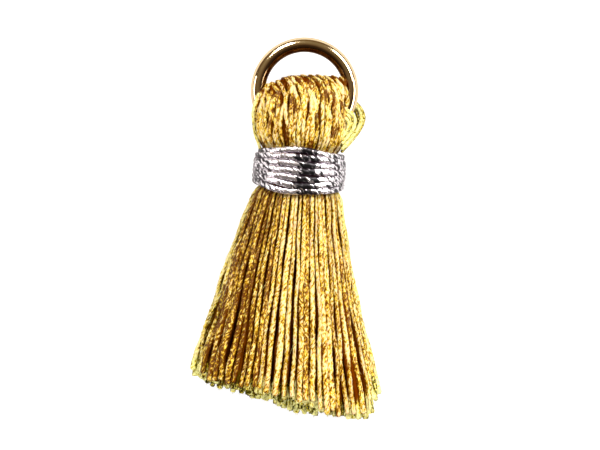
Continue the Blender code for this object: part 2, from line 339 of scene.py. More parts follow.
class BindingSettings(PropertyGroup):
    """The metallic thread wound round the neck."""

    turns: IntProperty(name="Turns", description="Turns of thread round the neck", default=7, min=2, max=20)
    thickness: length_setting("Thickness", "Thickness of the wound thread", 0.36)
    colour: colour_setting("Colour", "Colour of the metallic thread", (0.93, 0.90, 0.94))
    # The dull colour also paints the dark reflection just right of the middle of the binding's front.
    dull: colour_setting("Dull colour", "Colour of its duller flecks", (0.034, 0.033, 0.035))
    # Painted shade: the colour painted deep between the turns, where their height is low.
    crevice_shade: colour_setting("Crevice colour", "Colour deep between its turns", (0.10, 0.045, 0.08))


class RingSettings(PropertyGroup):
    """The jump ring."""

    colour: colour_setting("Colour", "Colour of the gold plate", (0.97, 0.76, 0.44))
    # Painted shade: the dark colour painted on the inside of the ring, over what its plate mirrors there.
    inner_shade: colour_setting("Worn colour", "Colour of the plate where thread rubs it", (0.14, 0.065, 0.02))
    roughness: FloatProperty(
        name="Roughness", description="How dull the plate is", default=0.09, min=0.0, max=1.0,
        subtype="FACTOR",
    )


class StageSettings(PropertyGroup):
    """The floor and the lights."""

    floor: colour_setting("Floor", "Colour of the floor", (0.45, 0.45, 0.45))
    power: FloatProperty(
        name="Power", description="Power that each light has its own share of", default=0.295, min=0.0,
        unit="POWER",
    )


def smoothstep(low, high, value):
    """0 up to low, 1 from high, and an S between them."""
    share = np.clip((value - low) / (high - low), 0.0, 1.0)
    return share * share * (3 - 2 * share)


def curve_through(known, values, wanted):
    """A smooth curve through known values: a cubic between each two, with slopes from their neighbours."""
    known, values = np.asarray(known, float), np.asarray(values, float)
    slope = np.gradient(values, known)
    left = np.clip(np.searchsorted(known, wanted, side="right") - 1, 0, len(known) - 2)
    width = known[left + 1] - known[left]
    t = np.clip((wanted - known[left]) / width, 0.0, 1.0)
    start = (1 + 2 * t) * (1 - t) ** 2 * values[left] + t * (1 - t) ** 2 * width * slope[left]
    return start + t * t * (3 - 2 * t) * values[left + 1] + t * t * (t - 1) * width * slope[left + 1]


def columns_at(table, drops):
    """left, right, low, high and flat of a table of sections at these drops."""
    known = [row.drop for row in table]
    return [curve_through(known, column, drops) for column in list(zip(*table))[1:]]


def middle_height(low, high, flat):
    """Height of a section's widest place. It sinks a little as the underside flattens."""
    return low + (high - low) * (0.5 - SINK_WITH_FLATNESS * (flat - 2))


def wander(draw, threads, share, swings, strength):
    """A slow, uneven drift for each thread: three sines of the share of its length, the longest strongest."""
    total = np.zeros((threads, share.shape[-1]))
    for pace in WANDER_PACES:
        size = draw.normal(0, strength / pace, (threads, 1))
        offset = draw.uniform(0, 1, (threads, 1))
        total += size * np.sin(2 * math.pi * (swings * pace * share + offset))
    return total


Form = namedtuple("Form", "first last x z middle girth")


def make_form(table, inset):
    """A table of sections as a surface, moved in by inset: x and z on a grid of drops by places.

    Each side of a section is a quarter ellipse above its widest place and a quarter superellipse of
    exponent flat below it, and its points are spaced evenly by length.
    """
    drops = np.linspace(table[0].drop, table[-1].drop, FORM_ROWS)
    left, right, low, high, flat = (column[:, None] for column in columns_at(table, drops))
    low, high = low + inset, high - inset
    middle = middle_height(low, high, flat)
    turn = np.linspace(0, math.pi, FORM_TURNS)[None, :]
    upper = turn <= math.pi / 2
    power = np.where(upper, 1.0, 2 / flat)
    reach = np.where(upper, high - middle, middle - low)
    across = np.clip(np.sin(turn), 0, 1) ** power
    z = middle + np.sign(np.cos(turn)) * reach * np.abs(np.cos(turn)) ** power
    places = np.linspace(0, 1, FORM_PLACES // 2 + 1)
    halves, girth = [], np.zeros(FORM_ROWS)
    for x in ((right - inset) * across, (inset - left) * across):
        steps = np.hypot(np.diff(x, axis=1), np.diff(z, axis=1))
        length = np.concatenate([np.zeros((FORM_ROWS, 1)), np.cumsum(steps, axis=1)], axis=1)
        girth = girth + length[:, -1]
        length /= length[:, -1:]
        halves.append([
            np.array([np.interp(places, length[row], values[row]) for row in range(FORM_ROWS)])
            for values in (x, z)
        ])
    x, z = (np.concatenate([halves[0][i], halves[1][i][:, -2::-1]], axis=1) for i in (0, 1))
    return Form(drops[0], drops[-1], x, z, middle[:, 0], girth)


def on_form(form, drop, place):
    """(x, z, height of the middle) on a form at these drops and places, straight between its grid points."""
    row = np.clip((drop - form.first) / (form.last - form.first), 0, 1) * (FORM_ROWS - 1)
    row_index = np.minimum(row.astype(int), FORM_ROWS - 2)
    row_share = row - row_index
    column = (place % 1.0) * FORM_PLACES
    column_index = np.minimum(column.astype(int), FORM_PLACES - 1)
    column_share = column - column_index

    def along_row(grid, row):
        """Values between two places of a row."""
        return grid[row, column_index] * (1 - column_share) + grid[row, column_index + 1] * column_share

    def between_rows(near, far):
        """Values between two rows."""
        return near * (1 - row_share) + far * row_share

    x, z = (
        between_rows(along_row(grid, row_index), along_row(grid, row_index + 1))
        for grid in (form.x, form.z)
    )
    return x, z, between_rows(form.middle[row_index], form.middle[row_index + 1])


def path_points(x, drop, z):
    """Points in millimetres in the part's frame from x, drop and height."""
    x, drop, z = np.broadcast_arrays(x, drop, z)
    return np.stack([x, RING_Y - drop, z], axis=-1)


def evenly(paths, extra, step):
    """Paths shaped (thread, point, 3) with their points moved to equal steps by length.

    extra is a list of numbers or arrays that fit (thread, point) and are carried along. Returns the paths,
    the length up to each point, and the list.
    """
    steps = np.linalg.norm(np.diff(paths, axis=1), axis=2)
    length = np.concatenate([np.zeros((len(paths), 1)), np.cumsum(steps, axis=1)], axis=1)
    count = int(math.ceil(length[:, -1].max() / step)) + 1
    wanted = np.linspace(0, 1, count)[None, :] * length[:, -1:]

    def moved(values):
        """Values at the wanted lengths."""
        return np.array([np.interp(wanted[i], length[i], values[i]) for i in range(len(paths))])

    even = np.stack([moved(paths[..., axis]) for axis in range(3)], axis=-1)
    return even, wanted, [moved(np.broadcast_to(values, length.shape)) for values in extra]


def unit(vectors):
    """The vectors at length 1."""
    return vectors / np.maximum(np.linalg.norm(vectors, axis=-1, keepdims=True), TINY)


def normals_along(paths, reference):
    """Two normals at each point of the paths: reference less its part along the path, and square to both."""
    tangent = unit(np.gradient(paths, axis=1))
    first = unit(reference - (tangent @ reference)[..., None] * tangent)
    return first, np.cross(tangent, first)


def tube_rings(paths, radius, turn, relief, sides, reference, flatten=1.0):
    """Rings of points round the paths, shaped (thread, ring, side, 3).

    Round each path the radius is radius times 1 - relief * (1 - cos(plies * angle)) / 2, so it has a ridge
    for each ply with grooves between them. The profile turns with turn, in radians, shaped like the paths'
    points, and is flattened across the second normal.
    """
    first, second = normals_along(paths, np.array(reference, float))
    angle = np.arange(sides) * 2 * math.pi / sides
    profile = 1 - np.asarray(relief)[..., None] * (1 - np.cos(PLIES * angle)) / 2
    spun = angle + turn[..., None]
    out = radius[..., None] * profile
    along_first = (out * np.cos(spun))[..., None] * first[:, :, None, :]
    along_second = (out * np.sin(spun) * flatten)[..., None] * second[:, :, None, :]
    return paths[:, :, None, :] + along_first + along_second


def tube_faces(tubes, count, sides):
    """Corners of the quads between the rings of tubes, and of the triangles that close their ends.

    Points are numbered ring by ring, and then come the middles of each tube's two ends.
    """
    index = np.arange(tubes * count * sides).reshape(tubes, count, sides)
    after = np.roll(index, -1, axis=2)
    quads = np.stack([index[:, :-1], after[:, :-1], after[:, 1:], index[:, 1:]], axis=-1)
    pole = tubes * count * sides + np.arange(2 * tubes).reshape(tubes, 2)
    near = np.stack([np.repeat(pole[:, :1], sides, 1), after[:, 0], index[:, 0]], axis=-1)
    far = np.stack([np.repeat(pole[:, 1:], sides, 1), index[:, -1], after[:, -1]], axis=-1)
    return quads.reshape(-1, 4), np.concatenate([near, far], axis=1).reshape(-1, 3)


def tube_uv(lengths, sides):
    """UV of the corners in tube_faces: from 0 to 1 round a tube, and in millimetres along it."""
    side = np.arange(sides) / sides
    u = np.stack([side, side + 1 / sides, side + 1 / sides, side], axis=-1)
    v = np.stack([lengths[:, :-1], lengths[:, :-1], lengths[:, 1:], lengths[:, 1:]], axis=-1)
    quad_uv = np.stack(np.broadcast_arrays(u[None, None], v[:, :, None, :]), axis=-1)
    end_v = np.repeat(lengths[:, [0, -1]], sides, axis=1)
    end_u = np.broadcast_to(np.tile(side, 2), end_v.shape)
    end_uv = np.repeat(np.stack([end_u, end_v], axis=-1)[:, :, None, :], 3, axis=2)
    return np.concatenate([quad_uv.reshape(-1, 2), end_uv.reshape(-1, 2)])


def mesh_of_tubes(name, rings, lengths, values):
    """One mesh of closed tubes from rings shaped (thread, ring, side, 3), in millimetres.

    Its UV map "thread" runs from 0 to 1 round a tube and in millimetres along it. values are named numbers,
    or arrays that fit (thread, ring) or (thread, ring, side), kept as attributes of the points. So is "lot",
    a number of each tube's own.
    """
    tubes, count, sides = rings.shape[:3]
    quads, triangles = tube_faces(tubes, count, sides)
    ends = rings[:, [0, -1]].mean(axis=2)
    points = np.concatenate([rings.reshape(-1, 3), ends.reshape(-1, 3)]) * MM
    corners = np.concatenate([quads.ravel(), triangles.ravel()])
    starts = np.concatenate([np.arange(len(quads)) * 4, len(quads) * 4 + np.arange(len(triangles)) * 3])

    mesh = bpy.data.meshes.new(name)
    mesh.vertices.add(len(points))
    mesh.vertices.foreach_set("co", points.astype(np.float32).ravel())
    mesh.loops.add(len(corners))
    mesh.loops.foreach_set("vertex_index", corners.astype(np.int32))
    mesh.polygons.add(len(starts))
    mesh.polygons.foreach_set("loop_start", starts.astype(np.int32))
    mesh.update(calc_edges=True)
    uv = tube_uv(lengths, sides)
    mesh.uv_layers.new(name="thread").data.foreach_set("uv", uv.astype(np.float32).ravel())
    for key, value in {**values, "lot": np.arange(tubes)[:, None] * LOT_APART}.items():
        value = np.asarray(value, float)
        if value.ndim < 3:
            value = np.broadcast_to(value, lengths.shape)[..., None]
        value = np.broadcast_to(value, (tubes, count, sides))
        data = np.concatenate([value.ravel(), value[:, [0, -1]].mean(axis=2).ravel()])
        mesh.attributes.new(key, "FLOAT", "POINT").data.foreach_set("value", data.astype(np.float32))
    mesh.shade_smooth()
    return mesh


def linked(name, data):
    """A new object in the scene, at the origin, in place of an earlier one of its name."""
    old = bpy.data.objects.get(name)
    if old is not None:
        bpy.data.objects.remove(old)
    obj = bpy.data.objects.new(name, data)
    bpy.context.scene.collection.objects.link(obj)
    return obj


def add_piece(name, mesh, material, node):
    """Links a mesh as a piece that rides with the tassel and stands for one of its nodes."""
    obj = linked(name, mesh)
    obj.data.materials.append(material)
    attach(obj, "root")
    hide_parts(node)


def add_silk(name, rings, lengths, silk, tone, height, moss):
    """Adds tubes of silk that stand for the hank. tone, height and moss are values for mesh_of_tubes."""
    mesh = mesh_of_tubes(name, rings, lengths, {"tone": tone, "height": height, "moss": moss})
    add_piece(name, mesh, twisted_silk(silk), "threads")


def add_threads(name, paths, silk, looks, outward, sides, steps, draw, reference=(1, 0, 0)):
    """Adds two-ply silk threads along paths. looks holds four numbers or arrays that fit (thread, point).

    They are the radius, the tone, the depth of a thread's middle below the hank's surface, and the share of
    moss in its colour. The two plies make two lobes that go round once in each turn of twist, with a deeper
    groove on some threads than on others. Each point keeps its height over the hank's surface: minus the
    depth of its thread's middle, plus its way from there along outward. The silk paints shade where that
    height is low and a highlight where it is highest.
    """
    turn = silk.turn / MM
    carried = [*looks, *(outward[..., axis] for axis in range(3))]
    paths, lengths, (radius, tone, depth, moss, *outward) = evenly(paths, carried, turn / steps)
    outward = unit(np.stack(outward, axis=-1))
    threads, count = lengths.shape
    share = np.linspace(0, 1, count)
    swings = lengths.max() / LOOK_SWING
    twist = draw.uniform(0, 2 * math.pi, (threads, 1)) + wander(draw, threads, share, swings, TWIST_WANDERS)
    twist = twist + draw.uniform(*TURN_SHARES, (threads, 1)) * 2 * math.pi * lengths / turn
    waist = silk.waist * draw.uniform(*WAIST_SHARES, (threads, 1))
    waist = np.clip(waist + wander(draw, threads, share, swings, WAIST_WANDERS), 0, DEEPEST_WAIST)
    radius = radius * (1 + wander(draw, threads, share, swings, RADIUS_WANDERS))
    tone = tone + wander(draw, threads, share, swings, TONE_WANDERS)
    radius[:, [0, -1]] *= CUT_END
    rings = tube_rings(paths, radius, twist, waist, sides, reference)
    height = ((rings - paths[:, :, None, :]) * outward[:, :, None, :]).sum(axis=-1) - depth[..., None]
    add_silk(name, rings, lengths, silk, tone, height, moss)


def outward_of(table, x, drop, z, crown=None):
    """The way out of the hank at these points: square to an oval of the section's width and height.

    With crown, the drop of the head's fullest part, the oval becomes an ovoid that closes above the ring.
    """
    left, right, low, high, flat = columns_at(table, drop)
    middle = middle_height(low, high, flat)
    across = x / np.where(x < 0, left, right) ** 2
    up = (z - middle) / ((high - low) / 2) ** 2
    along = 0 * across if crown is None else np.clip(crown - drop, 0, None) / (crown + HEAD_CLOSES) ** 2
    return np.stack([across, along, up], axis=-1)


def lock_shift(place):
    """How far threads move round the skirt to crowd into locks: a sum of sines of the place."""
    return sum(
        strength * np.sin(2 * math.pi * waves * place + phase) / (2 * math.pi * waves)
        for waves, strength, phase in LOCK_WAVES
    )


def lock_spacing(place):
    """How far apart threads lie in the locks, as a share of their even spacing: 1 plus lock_shift's slope."""
    return 1 + sum(
        strength * np.cos(2 * math.pi * waves * place + phase)
        for waves, strength, phase in LOCK_WAVES
    )


def hem_drop(x, z, uneven):
    """Where a thread is cut: the hem slopes across the skirt and in depth, and some threads are longer.

    Those behind are longer by a bell curve of x, and those in front at the right by a flat-topped step.
    """
    known, cut = zip(*HEM_CUT)
    in_front = LONG_FRONT * smoothstep(*LONG_FRONT_FROM_OVER, x) * smoothstep(*LONG_FRONT_UP_OVER, z)
    in_front = in_front * smoothstep(*LONG_FRONT_TO_OVER, x)
    bell = np.exp(-((x - LONG_BEHIND_AT) / LONG_BEHIND_WIDE) ** 2)
    behind = LONG_BEHIND * bell * smoothstep(*LONG_BEHIND_DOWN_OVER, z)
    return np.interp(x, known, cut) + HEM_SLOPE_IN_DEPTH * (SKIRT_MIDDLE - z) + uneven + in_front + behind


def skirt_paths(layer, draw):
    """Paths of one layer of the skirt, with each point's drop, place, spacing and sinking, and the hem.

    Threads start side by side under the binding at equal places. Below it they drift to their lock and
    wander a little, on the form of the skirt moved in by the layer's inset.
    """
    form = make_form(SKIRT, layer.inset)
    number = np.arange(layer.count)[:, None]
    start = (number + draw.uniform(-ROOT_UNEVEN, ROOT_UNEVEN, number.shape)) / layer.count
    tip = start + lock_shift(start)
    tip_x, tip_z, _ = on_form(form, np.full(tip.shape, HEM_DROP), tip)
    end = hem_drop(tip_x, tip_z, draw.uniform(-HEM_UNEVEN, HEM_UNEVEN, tip.shape))
    drop = SKIRT_ROOT + (end - SKIRT_ROOT) * SHARES
    free = smoothstep(LOOSE_FROM, HEM_DROP - LOCKED_BEFORE_HEM, drop)
    started = smoothstep(LOOSE_FROM, LOOSE_FROM + LOOSE_SOON, drop)
    drift = draw.normal(0, DRIFT, number.shape) * smoothstep(LOOSE_FROM, HEM_DROP, drop)
    sway = wander(draw, layer.count, SHARES, SKIRT_SWINGS, SKIRT_SWAY)
    place = start + free * lock_shift(start) + (started * sway + drift) / layer.count
    girth = np.interp(drop, np.linspace(form.first, form.last, FORM_ROWS), form.girth)
    spacing = girth / layer.count * (1 + free * (lock_spacing(start) - 1))
    x, z, middle = on_form(form, drop, place)
    deeper = SUNK_MOST * draw.uniform(0, 1, number.shape) ** 3
    deeper = deeper + wander(draw, layer.count, SHARES, SKIRT_SWINGS, SUNK_SWAY)
    sunk = SUNK_EARLY * (number % 2) * (1 - smoothstep(*SUNK_EARLY_OVER, drop)) + started * deeper
    sink = 1 - sunk / SKIRT_MIDDLE
    x, z = x * sink, np.maximum(middle + (z - middle) * sink, LEAST_HEIGHT)
    kept = np.any([(turn >= layer.first) & (turn < layer.last) for turn in (tip, tip - 1)], axis=0)
    found = (path_points(x, drop, z), drop, place, spacing, sunk, end)
    return [values[kept[:, 0]] for values in found]


def skirt_layers(silk):
    """The number of each layer of the skirt, the layer, and its paths with what skirt_paths gives of them.

    The first two layers are the upper and the lower half of the same skin, so their draws are the same.
    """
    for number, layer in enumerate(SKIRT_LAYERS):
        skin = layer.inset == SURFACE_INSET
        draw = np.random.default_rng(silk.seed + (0 if skin else number))
        yield number, layer, skirt_paths(layer, draw)


# The look of the skirt. side is -1 at its left edge, 0 in front and behind, and 1 at its right edge. The
# ranges are of side, whatever its sign, of -side, of the drop and of the height.
SKIRT_THREADS = (0.78, 1.16)
EDGE_OVER, LEFT_OVER, UPPER_OVER, FRONT_OVER = (0.935, 1.0), (0.15, 0.75), (12.0, 9.5), (4.2, 5.4)
# SKIRT_TONE_BY_SIDE is painted light: threads are brighter to the right and darker to the left.
SKIRT_TONE, SKIRT_TONE_BY_SIDE = 0.44, 0.10
ODD_TONE, ODDEST, LESS_ODD_LEFT = 0.18, 0.32, 0.45

# What each zone adds to the tone, to the depth, as a share of a thread's radius, and to the moss. Each is
# painted light: at the edges a pale, greener rim light with less painted shade, at the left side painted
# shade, and at the upper right edge a pale, greener glow.
Zone = namedtuple("Zone", "tone depth moss")
EDGE_RIM_LIGHT = Zone(0.04, -0.5, 0.38)
EDGE_RIM_LIGHT_BY_SIDE = Zone(-0.22, 0.0, -0.12)
LEFT_SIDE_SHADE = Zone(-0.36, 0.34, 0.14)
UPPER_RIGHT_GLOW = Zone(0.3, 0.0, 0.5)

# How deep its threads look, as a share of their radius, which sets the painted shade between them: near the
# binding, how much more further down, and how unevenly. SUNK_SHOWN is how much of a thread's sinking is
# added.
CLOSE, CLOSER, CLOSER_OVER = 0.15, 0.22, (9.0, 15.0)
CLOSE_UNEVEN, CLOSE_SWINGS, CLOSE_SWAY, CLOSE_LIMITS = 0.10, 2.2, 0.20, (-0.36, 0.24)
SUNK_SHOWN = 0.5

# The ends that show at the back: how far before the cut they grow mossy, the height that they lie below, and
# how mossy the inner layers are. They lie in the skirt's shadow, and painted light lifts them out of it:
# their last bit is painted pale, and their painted shade is as light as the skin's.
MOSSY_END, MOSSY_FULL = 1.7, 0.7
MOSSY_BELOW, MOSSY_WITHIN, MOSSY_INSIDE = 4.6, 1.2, 0.8
PALE_END, PALE_FULL, PALEST, END_DULLER = 0.45, 0.15, 0.9, 0.02
END_LIFTED, END_DEPTHS = 0.98, (-0.08, 0.12)


def make_skirt(silk):
    """The skirt: layers of thread from just inside the binding to the sloping hem.

    Threads get painted shade at its left, where they are duller, deeper and a little mossier, and painted
    light towards its right. Its edges get a pale, greener painted rim light, and its upper right edge a
    painted glow. The ends behind are mossy, and painted light lifts them out of the skirt's shadow. Each is a
    little brighter or darker than its neighbours.
    """
    tube = silk.thread / MM / 2
    for number, layer, (paths, drop, place, spacing, sunk, end) in skirt_layers(silk):
        draw = np.random.default_rng(silk.seed + SKIRT_SEED + number)
        each = (len(paths), 1)
        skin = layer.inset == SURFACE_INSET
        height = paths[..., 2]
        radius = np.minimum(tube, spacing * SNUG / 2) * draw.uniform(*SKIRT_THREADS, each)
        side = np.sin(2 * math.pi * place)
        # Masks of painted light: edge and upper_right for rim light, left for painted shade on the left side.
        edge = smoothstep(*EDGE_OVER, np.abs(side))
        left = smoothstep(*LEFT_OVER, -side) * (1 - edge)
        upper_right = edge * (side > 0) * smoothstep(*UPPER_OVER, drop)
        near_end = smoothstep(end - MOSSY_END, end - MOSSY_FULL, drop)
        # Painted light on the ends behind, which lie in the skirt's shadow.
        painted_end_light = near_end * (1 - (smoothstep(*FRONT_OVER, height) if skin else 0.0))

        odd_one = np.clip(draw.normal(0, ODD_TONE, each), -ODDEST, ODDEST) * (1 - LESS_ODD_LEFT * left)
        tone = SKIRT_TONE + odd_one + SKIRT_TONE_BY_SIDE * side
        tone = tone + (EDGE_RIM_LIGHT.tone + EDGE_RIM_LIGHT_BY_SIDE.tone * side) * edge
        tone = tone + LEFT_SIDE_SHADE.tone * left + UPPER_RIGHT_GLOW.tone * upper_right
        pale_end = draw.uniform(0.0, PALEST, each) * smoothstep(end - PALE_END, end - PALE_FULL, drop)
        tone = tone + painted_end_light * (pale_end - END_DULLER)

        uneven = draw.normal(0, CLOSE_UNEVEN, each)
        uneven = uneven + wander(draw, len(paths), SHARES, CLOSE_SWINGS, CLOSE_SWAY)
        close = CLOSE + CLOSER * smoothstep(*CLOSER_OVER, drop) + np.clip(uneven, *CLOSE_LIMITS)
        close = close + EDGE_RIM_LIGHT.depth * edge + LEFT_SIDE_SHADE.depth * left
        depth = (layer.inset - SURFACE_INSET + SUNK_SHOWN * sunk) * (1 - END_LIFTED * painted_end_light) + close * radius
        depth = depth + painted_end_light * draw.uniform(*END_DEPTHS, each)

        low_down = smoothstep(MOSSY_BELOW, MOSSY_BELOW - MOSSY_WITHIN, height)
        moss = (EDGE_RIM_LIGHT.moss + EDGE_RIM_LIGHT_BY_SIDE.moss * side) * edge
        moss = moss + LEFT_SIDE_SHADE.moss * left + UPPER_RIGHT_GLOW.moss * upper_right
        moss = np.maximum(near_end * np.maximum(low_down, 0.0 if skin else MOSSY_INSIDE), moss)
        out = unit(outward_of(SKIRT, paths[..., 0], drop, height))
        out = out + painted_end_light[..., None] * (UP - out)
        add_threads(layer.name, paths, silk, (radius, tone, depth, moss), out, layer.sides, layer.steps, draw)


def add_hairs(name, hair, starts, ways, lengths, tone, silk, draw):
    """Adds fine fibres: parabolas from their starts along their ways, bent by a share of their length."""
    share = np.linspace(0, 1, HAIR_POINTS)[None, :, None]
    bend = draw.normal(0, HAIR_BEND, starts.shape)
    arc = unit(ways)[:, None] * share + bend[:, None] * share**2
    paths = starts[:, None] + lengths[:, None, None] * arc
    paths[..., 2] = np.maximum(paths[..., 2], hair.thick)
    along = lengths[:, None] * share[..., 0]
    taper = hair.thick * (1 - HAIR_TAPER * np.broadcast_to(share[..., 0], along.shape))
    rings = tube_rings(paths, taper, np.zeros(along.shape), 0.0, HAIR_SIDES, reference=(1, 0, 0.2))
    add_silk(name, rings, along, silk, tone, HAIR_HEIGHT, hair.moss)


def make_frays(silk):
    """Loose fibres: tufts that spread from the cut ends of the outer layers, and stray ones off the skirt."""
    draw = np.random.default_rng(silk.seed + FRAY_SEED)
    layers = [
        (layer.inset == SURFACE_INSET, found[0], found[1])
        for _, layer, found in skirt_layers(silk) if layer.inset < FRAYED_TO
    ]
    ends = np.concatenate([paths[:, -1] for _, paths, _ in layers])
    on = unit(np.concatenate([paths[:, -1] - paths[:, -NEARBY_POINTS] for _, paths, _ in layers]))
    ends, on = np.repeat(ends, FRAYS_EACH, axis=0), np.repeat(on, FRAYS_EACH, axis=0)
    starts = ends - FRAY_BEHIND * on + draw.normal(0, FRAY_ROUND, ends.shape)
    lengths = draw.uniform(*FRAY.lengths, len(ends))
    tone = draw.normal(FRAY.tone, HAIR_TONE_UNEVEN, (len(ends), 1))
    ways = on + draw.normal(0, FRAY.spread, on.shape)
    add_hairs("frayed_ends", FRAY, starts, ways, lengths, tone, silk, draw)

    paths, drop = (np.concatenate([layer[index] for layer in layers if layer[0]]) for index in (1, 2))
    thread = draw.integers(0, len(paths), STRAY_FIBRES)
    point = draw.integers(*STRAY_POINTS, STRAY_FIBRES)
    starts, along = paths[thread, point], unit(paths[thread, point + NEARBY_POINTS] - paths[thread, point])
    out = unit(outward_of(SKIRT, starts[:, 0], drop[thread, point], starts[:, 2]))
    ways = along + STRAY_OFF * out + draw.normal(0, STRAY.spread, out.shape)
    lengths = draw.uniform(*STRAY.lengths, STRAY_FIBRES)
    tone = draw.normal(STRAY.tone, HAIR_TONE_UNEVEN, (STRAY_FIBRES, 1))
    add_hairs("stray_fibres", STRAY, starts + STRAY_ABOVE * out, ways, lengths, tone, silk, draw)


def ring_height(drop):
    """Height of the ring's centre line: the ring tilts, so its far side droops."""
    return RING_Z + drop * math.tan(math.radians(RING_TILT_DEG))


def clear_of_ring(x, drop, z, front, tube):
    """Heights moved off the ring's wire, up in front of it and down behind it."""
    off_line = np.hypot(x, drop) - RING_MEAN_RADIUS
    clear = RING_WIRE / 2 + RING_CLEAR * tube
    need = np.sqrt(np.clip(clear**2 - off_line**2, 0, None))
    level = ring_height(drop)
    above = np.maximum(z, level + need)
    below = np.minimum(z, level - need)
    return np.where(need > 0, np.where(front, above, below), z)


def head_paths(layer, tube, draw):
    """Paths of one layer of loops over the ring's lower arc.

    Across the head a loop lies at the sine of its angle times the head's half-width. Its top lies on the
    crown, further to the left but at the right edge, so loops slant in front of the ring. Below the crown
    its depth grows as a superellipse, to the head's own ellipse.
    """
    number = np.arange(layer.count)[:, None]
    uneven = draw.uniform(-LOOP_UNEVEN, LOOP_UNEVEN, number.shape) / layer.count
    spread = np.clip(np.linspace(-1, 1, layer.count)[:, None] + uneven, -1, 1)
    side = np.sin(np.radians(layer.widest) * spread)
    journey = np.linspace(-1, 1, 2 * PATH_POINTS + 1)[None, :]
    away = np.abs(journey)
    front = journey < 0
    known, crown = zip(*CROWN)
    inward = 1 - layer.inset / CROWN_POINT_IN
    slant = CROWN_SLANT * (1 - ((spread + CROWN_SLANT_AT) / (1 + CROWN_SLANT_AT)) ** 2)
    leftmost = -1 + CROWN_LEFT_MARGIN * (spread + 1)
    top_x = CROWN_HALF_WIDTH * inward * np.clip(spread - slant / CROWN_HALF_WIDTH, leftmost, 1)
    stagger = CROWN_STAGGER * (number % 2) + CROWN_UNDER * (layer.inset - SURFACE_INSET)
    stagger = stagger + draw.uniform(-CROWN_UNEVEN, CROWN_UNEVEN, number.shape)
    stagger = stagger * (1 - smoothstep(*STAGGER_OVER, away))
    drop = CROWN_GUESS + (HEAD_END - CROWN_GUESS) * away**2
    # The half-width depends on the drop, and the drop on the crown above x, so they are worked out in turn.
    for _ in range(CROWN_PASSES):
        left, right, low, high, flat = columns_at(HEAD, drop)
        half_width = np.where(side < 0, left, right) - layer.inset
        x = top_x + (side * half_width - top_x) * smoothstep(*SLANT_OVER, away)
        top = curve_through(known, crown, np.clip(x, known[0], known[-1])) + stagger
        drop = top + (HEAD_END - top) * away**2
    sway = wander(draw, layer.count, (journey + 1) / 2, HEAD_SWINGS, HEAD_SWAY)
    x = x + sway * smoothstep(*SWAY_FROM_OVER, away) * (1 - smoothstep(*SWAY_TO_OVER, away))
    low, high = low + layer.inset, high - layer.inset
    middle = middle_height(low, high, flat)
    below = np.clip((drop - top) / CROWN_ROUND, 0, 1)
    rounding = (1 - (1 - below) ** CROWN_POWER) ** (1 / CROWN_POWER)
    over = np.clip(np.abs(x) / half_width, 0, 1)
    least = CROWN_FLATTEST * (1 - smoothstep(*SECTION_OVER, away))
    upper = np.maximum(np.sqrt(1 - over**2), least)
    lower = np.maximum((1 - over**flat) ** (1 / flat), least)
    in_front = middle + (high - middle) * upper * rounding
    behind = middle - (middle - low) * lower * rounding
    z = clear_of_ring(x, drop, np.where(front, in_front, behind), front, tube)
    return path_points(x, drop, z), journey, spread


# The head's mottling: how strong each pair of waves is, and each wave's radians for a millimetre of x, for
# one of y, and at its start.
MOTTLED = 0.46
MOTTLES = [
    (1.0, (2.6, 0.9, 1.2), (-1.1, 1.9, 0.4)),
    (0.6, (5.3, -2.2, 2.0), (1.7, 4.1, 0.0)),
    (0.5, (11.3, 4.7, 0.0), (-3.9, 9.1, 1.0)),
]


def mottling(x, y):
    """Brighter and duller patches, a millimetre or two wide and finer: products of two sines of x and y."""
    patches = 0.0
    for strength, *waves in MOTTLES:
        first, second = (np.sin(for_x * x + for_y * y + start) for for_x, for_y, start in waves)
        patches = patches + strength * (first * second)
    return MOTTLED * patches


# The look of the head's loops. spread is -1 at its left and 1 at its right.
# HEAD_TONE_BY_SPREAD is painted light, brighter to the right; HEAD_DEPTH and its sway set the painted shade
# between loops.
HEAD_TONE, HEAD_TONE_UNEVEN, HEAD_TONE_BY_SPREAD = 0.40, 0.15, 0.08
HEAD_MOSS, HEAD_THREADS = 0.25, (0.80, 1.12)
HEAD_DEPTH, HEAD_DEPTH_SWINGS, HEAD_DEPTH_SWAY = 0.34, 3.0, 0.05
# Every other loop gets painted shade at the crown, most of all at its left. All are thinner there, and where
# they are bound.
CROWN_SHADE, CROWN_LEFT_SHADE, CROWN_LEFT_OVER, CROWN_SHADE_OVER = 0.19, 0.25, (-0.1, -0.6), (0.2, 0.5)
CROWN_THIN, CROWN_THIN_OVER = 0.24, (0.12, 0.42)
BOUND_THIN, BOUND_THIN_OVER = 0.22, (0.82, 1.0)


